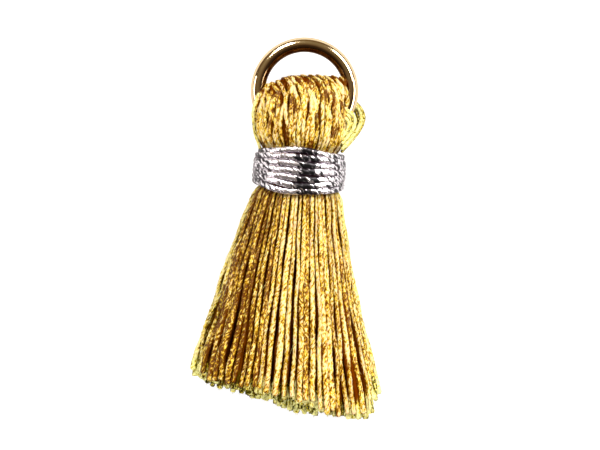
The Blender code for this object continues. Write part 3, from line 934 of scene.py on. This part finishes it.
def make_head(silk):
    """The head: loops of thread over the ring, mottled, painted lighter to the right and shaded between
    loops, with a filling inside that is painted as shade.
    """
    tube = HEAD_THREAD * (silk.thread / MM / 2)
    for number, layer in enumerate(HEAD_LAYERS):
        draw = np.random.default_rng(silk.seed + HEAD_SEED + number)
        each = (layer.count, 1)
        paths, journey, spread = head_paths(layer, tube, draw)
        away = np.abs(journey)
        tone = HEAD_TONE + draw.normal(0, HEAD_TONE_UNEVEN, each) + HEAD_TONE_BY_SPREAD * spread
        tone = tone + mottling(paths[..., 0], paths[..., 1])
        moss = HEAD_MOSS * draw.uniform(0, 1, each) ** 2
        squeeze = 1 - BOUND_THIN * smoothstep(*BOUND_THIN_OVER, away)
        squeeze = squeeze * (1 - CROWN_THIN * (1 - smoothstep(*CROWN_THIN_OVER, away)))
        radius = tube * squeeze * draw.uniform(*HEAD_THREADS, each)
        every_other = (np.arange(layer.count) % 2)[:, None]
        shade = (CROWN_SHADE + CROWN_LEFT_SHADE * smoothstep(*CROWN_LEFT_OVER, spread)) * every_other
        depth = layer.inset - SURFACE_INSET + HEAD_DEPTH * (silk.thread / MM / 2)
        depth = depth + shade * (1 - smoothstep(*CROWN_SHADE_OVER, away))
        depth = depth + wander(draw, layer.count, (journey[0] + 1) / 2, HEAD_DEPTH_SWINGS, HEAD_DEPTH_SWAY)
        out = outward_of(HEAD, paths[..., 0], RING_Y - paths[..., 1], paths[..., 2], crown=HEAD_FULLEST)
        add_threads(layer.name, paths, silk, (radius, tone, depth, moss), out, layer.sides, layer.steps, draw)
    make_filling(silk)


# The head's filling: the drops of its ends, its rings and sides, the drop that each form reaches and its
# inset, how narrow it is, and the drop of its tip and how long its round top is.
FILLING_ENDS, FILLING_RINGS, FILLING_SIDES = (0.3, 8.2), 24, 48
FILLING_FORMS = [(4.4, HEAD, 0.95), (7.8, WRAP, 0.42), (math.inf, SKIRT, 0.75)]
FILLING_NARROW, FILLING_TIP, FILLING_ROUND = 0.86, 0.1, 1.6
# Painted shade: the filling's height lies far below the surface, so it takes the silk's shadow colour.
FILLING_TONE, FILLING_HEIGHT = 0.3, -1.0


def make_filling(silk):
    """A filling painted as shade: a tube inside the forms of the head, binding and skirt, with an elliptical
    top.
    """
    forms = [(until, make_form(table, inset)) for until, table, inset in FILLING_FORMS]
    places = np.linspace(0, 1, FILLING_SIDES, endpoint=False)
    drops = np.linspace(*FILLING_ENDS, FILLING_RINGS)
    rings = []
    for drop in drops:
        form = next(form for until, form in forms if drop < until)
        x, z, middle = on_form(form, np.full(places.shape, drop), places)
        share = math.sqrt(1 - (1 - min((drop - FILLING_TIP) / FILLING_ROUND, 1.0)) ** 2)
        rings.append(path_points(FILLING_NARROW * x * share, drop, middle + (z - middle) * share))
    rings = np.array(rings)[None, :, ::-1]
    add_silk("head_filling", rings, drops[None], silk, FILLING_TONE, FILLING_HEIGHT, 0.0)


def make_loose(silk):
    """Loose threads: nested bights that bow out of the head on a lopsided half sine, and one on its left."""
    draw = np.random.default_rng(silk.seed + LOOSE_SEED)
    start, end, reach, low, high, radius, tone = (np.array(column)[:, None] for column in zip(*BIGHTS))
    drop = start + SHARES * (end - start)
    x = BIGHT_ROOT_X + reach * np.sin(math.pi * SHARES**BIGHT_EARLY)
    z = ring_height(drop) + low + (high - low) * smoothstep(*BIGHT_RISE_OVER, SHARES)
    looks = (radius, tone, BIGHT_DEPTH * radius, BIGHT_MOSS)
    paths = path_points(x, drop, z)
    add_threads("loose_bight", paths, silk, looks, UP, BIGHT_SIDES, LOOSE_STEPS, draw, reference=UP)
    known = np.linspace(0, 1, len(LOOSE_LEFT))
    x, drop, z = (curve_through(known, column, SHARES[None, :]) for column in zip(*LOOSE_LEFT))
    paths = path_points(x, drop, z)
    add_threads("loose_thread", paths, silk, LOOSE_LOOKS, UP, LOOSE_SIDES, LOOSE_STEPS, draw)


def make_binding(binding):
    """The binding: one thread wound round the neck, flattened, its turns drawn together at the sides.

    The thread sways a little along the neck as it goes round, as a sum of sines, so its turns aren't even.
    Its foil is creased in a spiral, a cosine round it and along it. "flank", kept at its points, is 0 in the
    middle of the binding and 1 at its left and right.
    """
    half_thick = binding.thickness / MM / 2
    form = make_form(WRAP, half_thick * (1 + BAND_CREASE_DEPTH))
    pitch = (BAND_LAST - BAND_FIRST) / (binding.turns - 1)
    half_wide = pitch * BAND_OVERLAP
    turned = np.linspace(0, binding.turns, binding.turns * BAND_POINTS)[None, :]
    draw = np.random.default_rng(BAND_SEED)
    sway = sum(
        BAND_SWAY * draw.normal() * np.sin(2 * math.pi * (swings * turned / binding.turns + draw.uniform()))
        for swings in BAND_SWINGS
    )
    place = turned + BAND_START
    drop = BAND_FIRST + np.clip(turned - BAND_LEVEL, 0, binding.turns - 1) * pitch + sway
    beside = np.sin(2 * math.pi * place) ** 2
    drop = BAND_MIDDLE + (drop - BAND_MIDDLE) * (1 - BAND_DRAWN_IN * beside) - BAND_RAISED * beside
    to_end = np.minimum(turned, binding.turns - turned)
    sink = 1 - BAND_TUCKED * (1 - smoothstep(*BAND_TUCKED_OVER, to_end))
    x, z, middle = on_form(form, drop, place)
    paths = path_points(x * sink, drop, middle + (z - middle) * sink)
    out = outward_of(WRAP, x, drop, z)
    paths, lengths, out = evenly(paths, [out[..., axis] for axis in range(3)], BAND_STEP)
    out = unit(np.stack(out, axis=-1))
    wide = half_wide * (1 - BAND_NARROWED * BAND_DRAWN_IN * (1 - out[..., 2] ** 2))
    flatten = half_thick / half_wide
    untwisted = np.zeros(lengths.shape)
    rings = tube_rings(paths, wide, untwisted, 0.0, BAND_SIDES, reference=(0, 1, 0), flatten=flatten)
    angle = np.arange(BAND_SIDES) * 2 * math.pi / BAND_SIDES
    spiral = BAND_CREASES * angle - (2 * math.pi * lengths / BAND_CREASE)[..., None]
    from_middle = (rings - paths[:, :, None, :]) * (1 + BAND_CREASE_DEPTH * np.cos(spiral))[..., None]
    height = (from_middle * out[:, :, None, :]).sum(axis=-1) - 0.5 * half_thick
    # Tone across the front, with the painted dark reflection just right of the middle; the back has one tone.
    known, tones = zip(*BAND_TONES_AND_PAINTED_REFLECTION)
    share = np.linspace(0, 1, lengths.shape[1]) ** BAND_RAGGED_POWER
    ragged = BAND_RAGGED * np.sin(BAND_RAGGED_WAVES * 2 * math.pi * share)
    tone = np.where(out[..., 2] > 0, np.interp(paths[..., 0] + ragged, known, tones), BAND_TONE_BEHIND)
    values = {"tone": tone, "height": height, "flank": smoothstep(*BAND_FLANK_OVER, np.abs(paths[..., 0]))}
    mesh = mesh_of_tubes("neck_winding", paths[:, :, None, :] + from_middle, lengths, values)
    add_piece("neck_winding", mesh, foil_thread(binding), "neck_wrap")


def make_ring(ring):
    """The jump ring: a circle of wire carried round a circle, tilted so that its far side droops."""
    turn = (np.arange(RING_POINTS) * 2 * math.pi / RING_POINTS)[:, None]
    angle = (np.arange(RING_SIDES) * 2 * math.pi / RING_SIDES)[None, :]
    out = RING_MEAN_RADIUS + RING_WIRE / 2 * np.cos(angle)
    tilt = math.radians(RING_TILT_DEG)
    x, y, z = out * np.cos(turn), out * np.sin(turn), RING_WIRE / 2 * np.sin(angle) + 0 * turn
    y, z = (
        RING_Y + y * math.cos(tilt) + z * math.sin(tilt),
        RING_Z - y * math.sin(tilt) + z * math.cos(tilt),
    )
    points = np.stack([x, y, z], axis=-1).reshape(-1, 3) * MM
    index = np.arange(RING_POINTS * RING_SIDES).reshape(RING_POINTS, RING_SIDES)
    right, up = np.roll(index, -1, axis=0), np.roll(index, -1, axis=1)
    faces = np.stack([index, right, np.roll(right, -1, axis=1), up], axis=-1).reshape(-1, 4)
    mesh = bpy.data.meshes.new("jump_ring_wire")
    mesh.from_pydata(points.tolist(), [], faces.tolist())
    mesh.shade_smooth()
    add_piece("jump_ring_wire", mesh, polished_gold(ring), "jump_ring")


def made_once(build):
    """Turns build, which places a material's nodes, into a function that returns the material, built once."""
    name = build.__name__

    @wraps(build)
    def material_for(settings):
        """The material, made with these settings if it isn't there yet."""
        material = bpy.data.materials.get(name)
        if material is None:
            material = bpy.data.materials.new(name)
            material.use_nodes = True
            tree = material.node_tree
            build(tree, tree.nodes["Principled BSDF"].inputs, settings)
        return material

    return material_for


def put(tree, socket, value):
    """Links a node's output to an input socket, or sets the socket to a value."""
    if isinstance(value, bpy.types.NodeSocket):
        tree.links.new(value, socket)
    else:
        socket.default_value = value


def add_node(tree, kind, inputs, **settings):
    """A node of a kind, with its settings, and its inputs set or linked by name or number."""
    node = tree.nodes.new(kind)
    for key, value in settings.items():
        setattr(node, key, value)
    for key, value in inputs.items():
        put(tree, node.inputs[key], value)
    return node


def maths(tree, operation, *values):
    """The result of a Math node."""
    return add_node(tree, "ShaderNodeMath", dict(enumerate(values)), operation=operation).outputs[0]


def vector_maths(tree, operation, *values, output="Vector"):
    """The result of a Vector Math node: its Vector, or its Value for a length or a dot product."""
    node = add_node(tree, "ShaderNodeVectorMath", dict(enumerate(values)), operation=operation)
    return node.outputs[output]


def pushed(tree, base, value, middle, gain):
    """A base value moved by another value's way from its middle, times gain."""
    return maths(tree, "MULTIPLY_ADD", maths(tree, "SUBTRACT", value, middle), gain, base)


def stretched(tree, value, start, end, low=0.0, high=1.0, kind="LINEAR"):
    """low up to start, high from end, and a line between them, or an S when kind is SMOOTHSTEP."""
    inputs = {0: value, 1: start, 2: end, 3: low, 4: high}
    return add_node(tree, "ShaderNodeMapRange", inputs, interpolation_type=kind).outputs[0]


def mixed(tree, share, first, second):
    """Two colours mixed by a share. Each is a node's output or three numbers."""
    first, second = (
        colour if isinstance(colour, bpy.types.NodeSocket) else (*colour, 1) for colour in (first, second)
    )
    return add_node(tree, "ShaderNodeMix", {0: share, 6: first, 7: second}, data_type="RGBA").outputs[2]


def attribute(tree, name):
    """The value that a mesh keeps at its points under this name."""
    return add_node(tree, "ShaderNodeAttribute", {}, attribute_name=name).outputs["Fac"]


def noise_in(tree, place, scale, detail, **more):
    """The outputs of fractal noise at a place: its value and its colour."""
    inputs = {"Vector": place, "Scale": scale, "Detail": detail, **more}
    return add_node(tree, "ShaderNodeTexNoise", inputs).outputs


def green_of(tree, colour):
    """The green share of a colour. In noise it varies on its own, apart from the noise's value."""
    return add_node(tree, "ShaderNodeSeparateColor", {0: colour}).outputs[1]


def new_group(name, inputs, outputs):
    """A shader node group with float or vector inputs and float outputs.

    inputs holds their defaults by name. Returns the group, the sockets that give its inputs, and those that
    take its outputs.
    """
    group = bpy.data.node_groups.new(name, "ShaderNodeTree")
    for socket, default in inputs.items():
        kind = "NodeSocketFloat" if isinstance(default, float) else "NodeSocketVector"
        group.interface.new_socket(socket, in_out="INPUT", socket_type=kind).default_value = default
    for socket in outputs:
        group.interface.new_socket(socket, in_out="OUTPUT", socket_type="NodeSocketFloat")
    return group, group.nodes.new("NodeGroupInput").outputs, group.nodes.new("NodeGroupOutput").inputs


def fibre_group():
    """Fine fibres along a thread, from its UV map and each thread's own "lot".

    Fibre is short specks of noise, Patch is noise drawn out along the thread, and Other is the mean of the
    green of both. Ridge is a cosine, 1 on each ply and 0 between them. The map's first number goes round a
    point on a cylinder, so that there is no seam. Across is how many specks fit in a radius of it, Along is
    how many fit in a millimetre of thread, and Slant is how far the fibres go round in one, in radians.
    """
    name = "fibres"
    if name in bpy.data.node_groups:
        return bpy.data.node_groups[name]
    inputs = {"UV": (0, 0, 0), "Plies": 2.0, "Across": 1.2, "Along": 2.0, "Slant": 2.0}
    group, source, result = new_group(name, inputs, ("Fibre", "Other", "Ridge", "Patch"))
    uv = add_node(group, "ShaderNodeSeparateXYZ", {0: source["UV"]}).outputs
    around = maths(group, "MULTIPLY", uv[0], 2 * math.pi)
    slanted = maths(group, "MULTIPLY_ADD", uv[1], source["Slant"], around)
    x = maths(group, "MULTIPLY", maths(group, "COSINE", slanted), source["Across"])
    y = maths(group, "MULTIPLY", maths(group, "SINE", slanted), source["Across"])
    z = maths(group, "MULTIPLY", uv[1], source["Along"])
    on_cylinder = add_node(group, "ShaderNodeCombineXYZ", {0: x, 1: y, 2: z}).outputs[0]
    place = vector_maths(group, "ADD", on_cylinder, attribute(group, "lot"))
    specks = noise_in(group, place, scale=1.0, detail=1.5, Roughness=0.6)
    drawn_out = vector_maths(group, "MULTIPLY", place, (1, 1, 0.12))
    streaks = noise_in(group, drawn_out, scale=0.9, detail=2.0)
    both = maths(group, "ADD", green_of(group, specks["Color"]), green_of(group, streaks["Color"]))
    ridge = maths(group, "COSINE", maths(group, "MULTIPLY", around, source["Plies"]))
    found = {
        "Fibre": specks[0],
        "Other": maths(group, "MULTIPLY", both, 0.5),
        "Ridge": maths(group, "MULTIPLY_ADD", ridge, 0.5, 0.5),
        "Patch": streaks[0],
    }
    for output, value in found.items():
        put(group, result[output], value)
    return group


def fibres_in(tree, plies, across, along, slant):
    """The fibre group in a material, on the threads' UV map. Returns its four outputs."""
    uv = add_node(tree, "ShaderNodeUVMap", {}, uv_map="thread").outputs[0]
    inputs = {"UV": uv, "Plies": plies, "Across": across, "Along": along, "Slant": slant}
    return add_node(tree, "ShaderNodeGroup", inputs, node_tree=fibre_group()).outputs


def ramp_of(tree, share, stops):
    """Colours along a ramp. stops is a list of (position, colour)."""
    ramp = add_node(tree, "ShaderNodeValToRGB", {0: share})
    elements = ramp.color_ramp.elements
    elements[0].position, elements[1].position = stops[0][0], stops[-1][0]
    elements[0].color, elements[1].color = (*stops[0][1], 1), (*stops[-1][1], 1)
    for position, colour in stops[1:-1]:
        elements.new(position).color = (*colour, 1)
    return ramp.outputs[0]


def bumped(tree, height, depth):
    """A normal bent by a height, where 1 stands for a depth in millimetres."""
    inputs = {"Strength": 1.0, "Distance": depth * MM, "Height": height}
    return add_node(tree, "ShaderNodeBump", inputs).outputs[0]


@made_once
def twisted_silk(tree, shader, silk):
    """Twisted silk: coloured by thread and fibre, with painted shade in the grooves between plies and between
    threads, a painted highlight along their crests, and a sharp gloss that fades in the painted shade.
    """
    fibre, other, ridge, patch = fibres_in(tree, PLIES, across=1.5, along=3.9, slant=6.4)
    tone, height, moss = (attribute(tree, name) for name in ("tone", "height", "moss"))
    # lit comes from the height kept at the points: low points between threads get painted shade in their
    # tone, colour and gloss.
    lit = stretched(tree, height, -0.22, 0.07, kind="SMOOTHSTEP")
    tone = pushed(tree, tone, patch, middle=0.5, gain=1.2)
    tone = pushed(tree, tone, fibre, middle=0.5, gain=4.0)
    # Painted shade in the grooves between plies, and lighter ridges.
    tone = pushed(tree, tone, ridge, middle=0.6, gain=0.10)
    tone = pushed(tree, tone, lit, middle=0.85, gain=0.70)
    # Painted highlight along the crests of threads.
    tone = maths(tree, "ADD", tone, stretched(tree, height, 0.02, 0.12, high=0.26))

    gold = ramp_of(tree, tone, [(0.02, silk.deep), (0.42, silk.middle), (0.76, silk.light), (1.0, silk.pale)])
    pinker = stretched(tree, other, 0.50, 0.60, high=0.85)
    pinker = maths(tree, "MULTIPLY", pinker, maths(tree, "MULTIPLY_ADD", tone, 1.6, -0.4))
    pinker = maths(tree, "MAXIMUM", maths(tree, "MINIMUM", pinker, 1.0), 0.0)
    gold = mixed(tree, pinker, gold, silk.blush)
    green = ramp_of(tree, tone, [(0.20, silk.dark_moss_and_shade), (0.46, silk.moss), (0.88, silk.lemon)])
    # Painted shade: the colour that low points take, mossy or not.
    dark = mixed(tree, moss, silk.shadow, silk.dark_moss_and_shade)
    gloss = maths(tree, "MULTIPLY", maths(tree, "POWER", lit, 2.0), 0.66)
    put(tree, shader["Base Color"], mixed(tree, lit, dark, mixed(tree, moss, gold, green)))
    put(tree, shader["Roughness"], maths(tree, "MULTIPLY_ADD", fibre, 0.25, 0.14))
    put(tree, shader["Specular IOR Level"], gloss)
    put(tree, shader["Specular Tint"], (1.0, 0.86, 0.44, 1.0))
    put(tree, shader["Normal"], bumped(tree, fibre, depth=0.20))


@made_once
def foil_thread(tree, shader, binding):
    """Metallic thread: silver foil with brighter and duller flecks, a painted dark reflection where its tone
    is low, painted shade deep in its crevices, and a spiral grain.
    """
    fibre, _, _, patch = fibres_in(tree, 1.0, across=0.95, along=2.6, slant=-3.5)
    tone = pushed(tree, attribute(tree, "tone"), fibre, middle=0.5, gain=4.2)
    bright = stretched(tree, tone, 0.42, 0.53)
    # Painted shade: low points between the turns take the crevice colour.
    open_to_light = stretched(tree, attribute(tree, "height"), -0.09, 0.06, kind="SMOOTHSTEP")
    foil = mixed(tree, open_to_light, binding.crevice_shade, mixed(tree, bright, binding.dull, binding.colour))
    rough = maths(tree, "MULTIPLY_ADD", patch, 0.20, 0.14)
    rough = maths(tree, "MULTIPLY_ADD", maths(tree, "SUBTRACT", 1.0, bright), 0.08, rough)
    put(tree, shader["Base Color"], foil)
    put(tree, shader["Metallic"], maths(tree, "MULTIPLY_ADD", attribute(tree, "flank"), -0.45, 0.9))
    put(tree, shader["Roughness"], rough)
    put(tree, shader["Normal"], bumped(tree, fibre, depth=0.06))


@made_once
def polished_gold(tree, shader, ring):
    """Gold plate: polished, with a faint unevenness in its gloss, and painted shade inside the ring that
    darkens what it mirrors there.
    """
    place = add_node(tree, "ShaderNodeTexCoord", {}).outputs["Object"]
    noise = noise_in(tree, place, scale=900.0, detail=4.0)[0]
    from_centre = vector_maths(tree, "SUBTRACT", place, (0, RING_Y * MM, RING_Z * MM))
    from_centre = vector_maths(tree, "LENGTH", from_centre, output="Value")
    # Painted shade inside the ring: full inside the first radius, gone outside the second.
    inner_shade_radii = [RING_MEAN_RADIUS * MM - inside * MM for inside in RING_PAINTED_SHADE]
    inner_shade = stretched(tree, from_centre, *inner_shade_radii, low=1.0, high=0.0)
    plate = mixed(tree, noise, [0.9 * share for share in ring.colour], ring.colour)
    put(tree, shader["Base Color"], mixed(tree, inner_shade, plate, ring.inner_shade))
    put(tree, shader["Roughness"], maths(tree, "MULTIPLY_ADD", noise, 0.12, ring.roughness - 0.05))
    put(tree, shader["Metallic"], 1.0)


@made_once
def pale_floor(tree, shader, stage):
    """A plain pale floor that glows: a little more far from the lights, and more to the camera."""
    place = add_node(tree, "ShaderNodeTexCoord", {}).outputs["Object"]
    far = vector_maths(tree, "LENGTH", place, output="Value")
    seen = add_node(tree, "ShaderNodeLightPath", {}).outputs["Is Camera Ray"]
    glow = maths(tree, "MULTIPLY_ADD", seen, 0.54, stretched(tree, far, 0.02, 0.12, low=0.20, high=0.34))
    put(tree, shader["Base Color"], (*stage.floor, 1))
    put(tree, shader["Roughness"], 0.9)
    put(tree, shader["Specular IOR Level"], 0.1)
    white = add_node(tree, "ShaderNodeCombineColor", {0: glow, 1: glow, 2: glow}).outputs[0]
    put(tree, shader["Emission Color"], white)
    put(tree, shader["Emission Strength"], 1.0)


# The lights, softboxes that face the origin from LIGHTS_AWAY millimetres: azimuth and elevation in degrees,
# width and height in millimetres, power as a share of the setting, and whether shiny things mirror them.
Light = namedtuple("Light", "name azimuth elevation width height power colour mirrored")
LIGHTS_AWAY = 240
LIGHTS = [
    Light("upper_left", 112, 43, 56, 88, 1.40, (1.0, 0.95, 0.93), True),
    Light("upper_right", 50, 36, 112, 84, 1.75, (1.0, 0.95, 0.95), True),
    Light("right", 10, 28, 150, 66, 1.05, (1.0, 0.98, 0.96), True),
    Light("left", 178, 25, 176, 60, 0.80, (1.0, 0.93, 0.94), True),
    Light("near", 272, 34, 150, 110, 1.80, (1.0, 0.96, 0.92), False),
]

# The dim room: it glows softly from one side, and its colour is warm.
GLOW_FROM = (-0.20, 0.65, 0.73)
ROOM_COLOUR = (1.0, 0.80, 0.50)
ROOM_SHADE = (1.0, 0.55, 0.28)

# The round floor, in metres, and the camera: its place as x, drop and height, and its turn.
FLOOR_RADIUS, FLOOR_CORNERS = 0.9, 64
LENS, SENSOR = 202.5, 36.0
CAMERA_X, CAMERA_DROP, CAMERA_HEIGHT = 0.362, 9.96, 253
CAMERA_TURN_DEG = 4.0


def make_floor(stage):
    """The floor: a flat disc, as a polygon on a circle."""
    turn = np.linspace(0, 2 * math.pi, FLOOR_CORNERS + 1)[:-1]
    rim = np.stack([np.cos(turn), np.sin(turn), 0 * turn], axis=-1) * FLOOR_RADIUS
    mesh = bpy.data.meshes.new("floor")
    mesh.from_pydata(rim.tolist(), [], [tuple(range(FLOOR_CORNERS))])
    mesh.materials.append(pale_floor(stage))
    floor = linked("floor", mesh)


def make_lights(stage):
    """The lights, on a sphere round the origin, turned to face it."""
    for light in LIGHTS:
        data = bpy.data.lights.new(light.name, "AREA")
        data.shape = "RECTANGLE"
        data.size, data.size_y = light.width * MM, light.height * MM
        data.energy = light.power * stage.power
        data.color = light.colour
        azimuth, elevation = math.radians(light.azimuth), math.radians(light.elevation)
        level = LIGHTS_AWAY * math.cos(elevation)
        obj = linked(light.name, data)
        obj.location = (
            level * math.cos(azimuth) * MM, level * math.sin(azimuth) * MM,
            LIGHTS_AWAY * math.sin(elevation) * MM,
        )
        obj.rotation_euler = (math.pi / 2 - elevation, 0, azimuth + math.pi / 2)
        obj.visible_glossy = light.mirrored


def make_room():
    """The world: white to the camera, and a dim warm room to all else, brighter low down and at its glow."""
    world = bpy.data.worlds.new("studio")
    bpy.context.scene.world = world
    world.use_nodes = True
    tree = world.node_tree
    place = add_node(tree, "ShaderNodeTexCoord", {}).outputs["Generated"]
    height = add_node(tree, "ShaderNodeSeparateXYZ", {0: place}).outputs[2]
    toward = vector_maths(tree, "DOT_PRODUCT", place, GLOW_FROM, output="Value")
    horizon = stretched(tree, height, 0.0, 0.30, low=0.22, high=0.035)
    glow = stretched(tree, toward, 0.60, 1.0)
    dim = maths(tree, "MULTIPLY_ADD", glow, 0.20, horizon)
    seen = add_node(tree, "ShaderNodeLightPath", {}).outputs["Is Camera Ray"]
    background = tree.nodes["Background"].inputs
    put(tree, background["Color"], mixed(tree, seen, mixed(tree, glow, ROOM_SHADE, ROOM_COLOUR), (1, 1, 1)))
    put(tree, background["Strength"], maths(tree, "MAXIMUM", seen, dim))


def make_camera():
    """The camera: a long lens that looks straight down, turned a little."""
    data = bpy.data.cameras.new("camera")
    data.lens = LENS
    data.sensor_width = SENSOR
    data.clip_start, data.clip_end = 0.01, 10.0
    camera = linked("camera", data)
    camera.location = (CAMERA_X * MM, (RING_Y - CAMERA_DROP) * MM, CAMERA_HEIGHT * MM)
    camera.rotation_euler = (0, 0, math.radians(CAMERA_TURN_DEG))
    bpy.context.scene.camera = camera
    bpy.context.scene.view_settings.view_transform = "Standard"


def make_stage(stage):
    """The floor, soft lights round the tassel, a dim room above them, and the camera."""
    make_floor(stage)
    make_lights(stage)
    make_room()
    make_camera()


class TASSEL_OT_skirt(Operator):
    """Makes the skirt of twisted silk threads"""

    bl_idname = "tassel.skirt"
    bl_label = "Skirt"

    def execute(self, context):
        make_skirt(context.scene.tassel_silk)
        return {"FINISHED"}


class TASSEL_OT_frays(Operator):
    """Makes the frayed ends and the stray fibres of the skirt"""

    bl_idname = "tassel.frays"
    bl_label = "Frays"

    def execute(self, context):
        make_frays(context.scene.tassel_silk)
        return {"FINISHED"}


class TASSEL_OT_head(Operator):
    """Makes the head of threads looped over the ring"""

    bl_idname = "tassel.head"
    bl_label = "Head"

    def execute(self, context):
        make_head(context.scene.tassel_silk)
        return {"FINISHED"}


class TASSEL_OT_loose(Operator):
    """Makes the loose threads beside the head"""

    bl_idname = "tassel.loose"
    bl_label = "Loose threads"

    def execute(self, context):
        make_loose(context.scene.tassel_silk)
        return {"FINISHED"}


class TASSEL_OT_binding(Operator):
    """Makes the metallic thread wound round the neck"""

    bl_idname = "tassel.binding"
    bl_label = "Binding"

    def execute(self, context):
        make_binding(context.scene.tassel_binding)
        return {"FINISHED"}


class TASSEL_OT_ring(Operator):
    """Makes the jump ring"""

    bl_idname = "tassel.ring"
    bl_label = "Jump ring"

    def execute(self, context):
        make_ring(context.scene.tassel_ring)
        return {"FINISHED"}


class TASSEL_OT_stage(Operator):
    """Makes the floor, the lights and the camera"""

    bl_idname = "tassel.stage"
    bl_label = "Stage"

    def execute(self, context):
        make_stage(context.scene.tassel_stage)
        return {"FINISHED"}


OPERATORS = (
    TASSEL_OT_skirt, TASSEL_OT_frays, TASSEL_OT_head, TASSEL_OT_loose, TASSEL_OT_binding, TASSEL_OT_ring,
    TASSEL_OT_stage,
)
SETTINGS = {
    "tassel_silk": SilkSettings,
    "tassel_binding": BindingSettings,
    "tassel_ring": RingSettings,
    "tassel_stage": StageSettings,
}


class TASSEL_PT_panel(Panel):
    """Lists the tassel's settings and pieces"""

    bl_idname = "TASSEL_PT_panel"
    bl_label = "Silk tassel"
    bl_space_type = "VIEW_3D"
    bl_region_type = "UI"
    bl_category = "Tassel"

    def draw(self, context):
        for name, group in SETTINGS.items():
            box = self.layout.box()
            for key in group.__annotations__:
                box.prop(getattr(context.scene, name), key)
        for operator in OPERATORS:
            self.layout.operator(operator.bl_idname)


def register():
    """Registers the classes, and gives the scene their groups of settings."""
    for cls in (*SETTINGS.values(), *OPERATORS, TASSEL_PT_panel):
        bpy.utils.register_class(cls)
    for name, group in SETTINGS.items():
        setattr(bpy.types.Scene, name, PointerProperty(type=group))


def unregister():
    """Takes back what register did."""
    for name in SETTINGS:
        delattr(bpy.types.Scene, name)
    for cls in (TASSEL_PT_panel, *reversed(OPERATORS), *reversed(SETTINGS.values())):
        bpy.utils.unregister_class(cls)


def main():
    """Makes everything with the operators."""
    register()
    for operator in OPERATORS:
        group, name = operator.bl_idname.split(".")
        getattr(getattr(bpy.ops, group), name)()


if __name__ == "__main__":
    main()
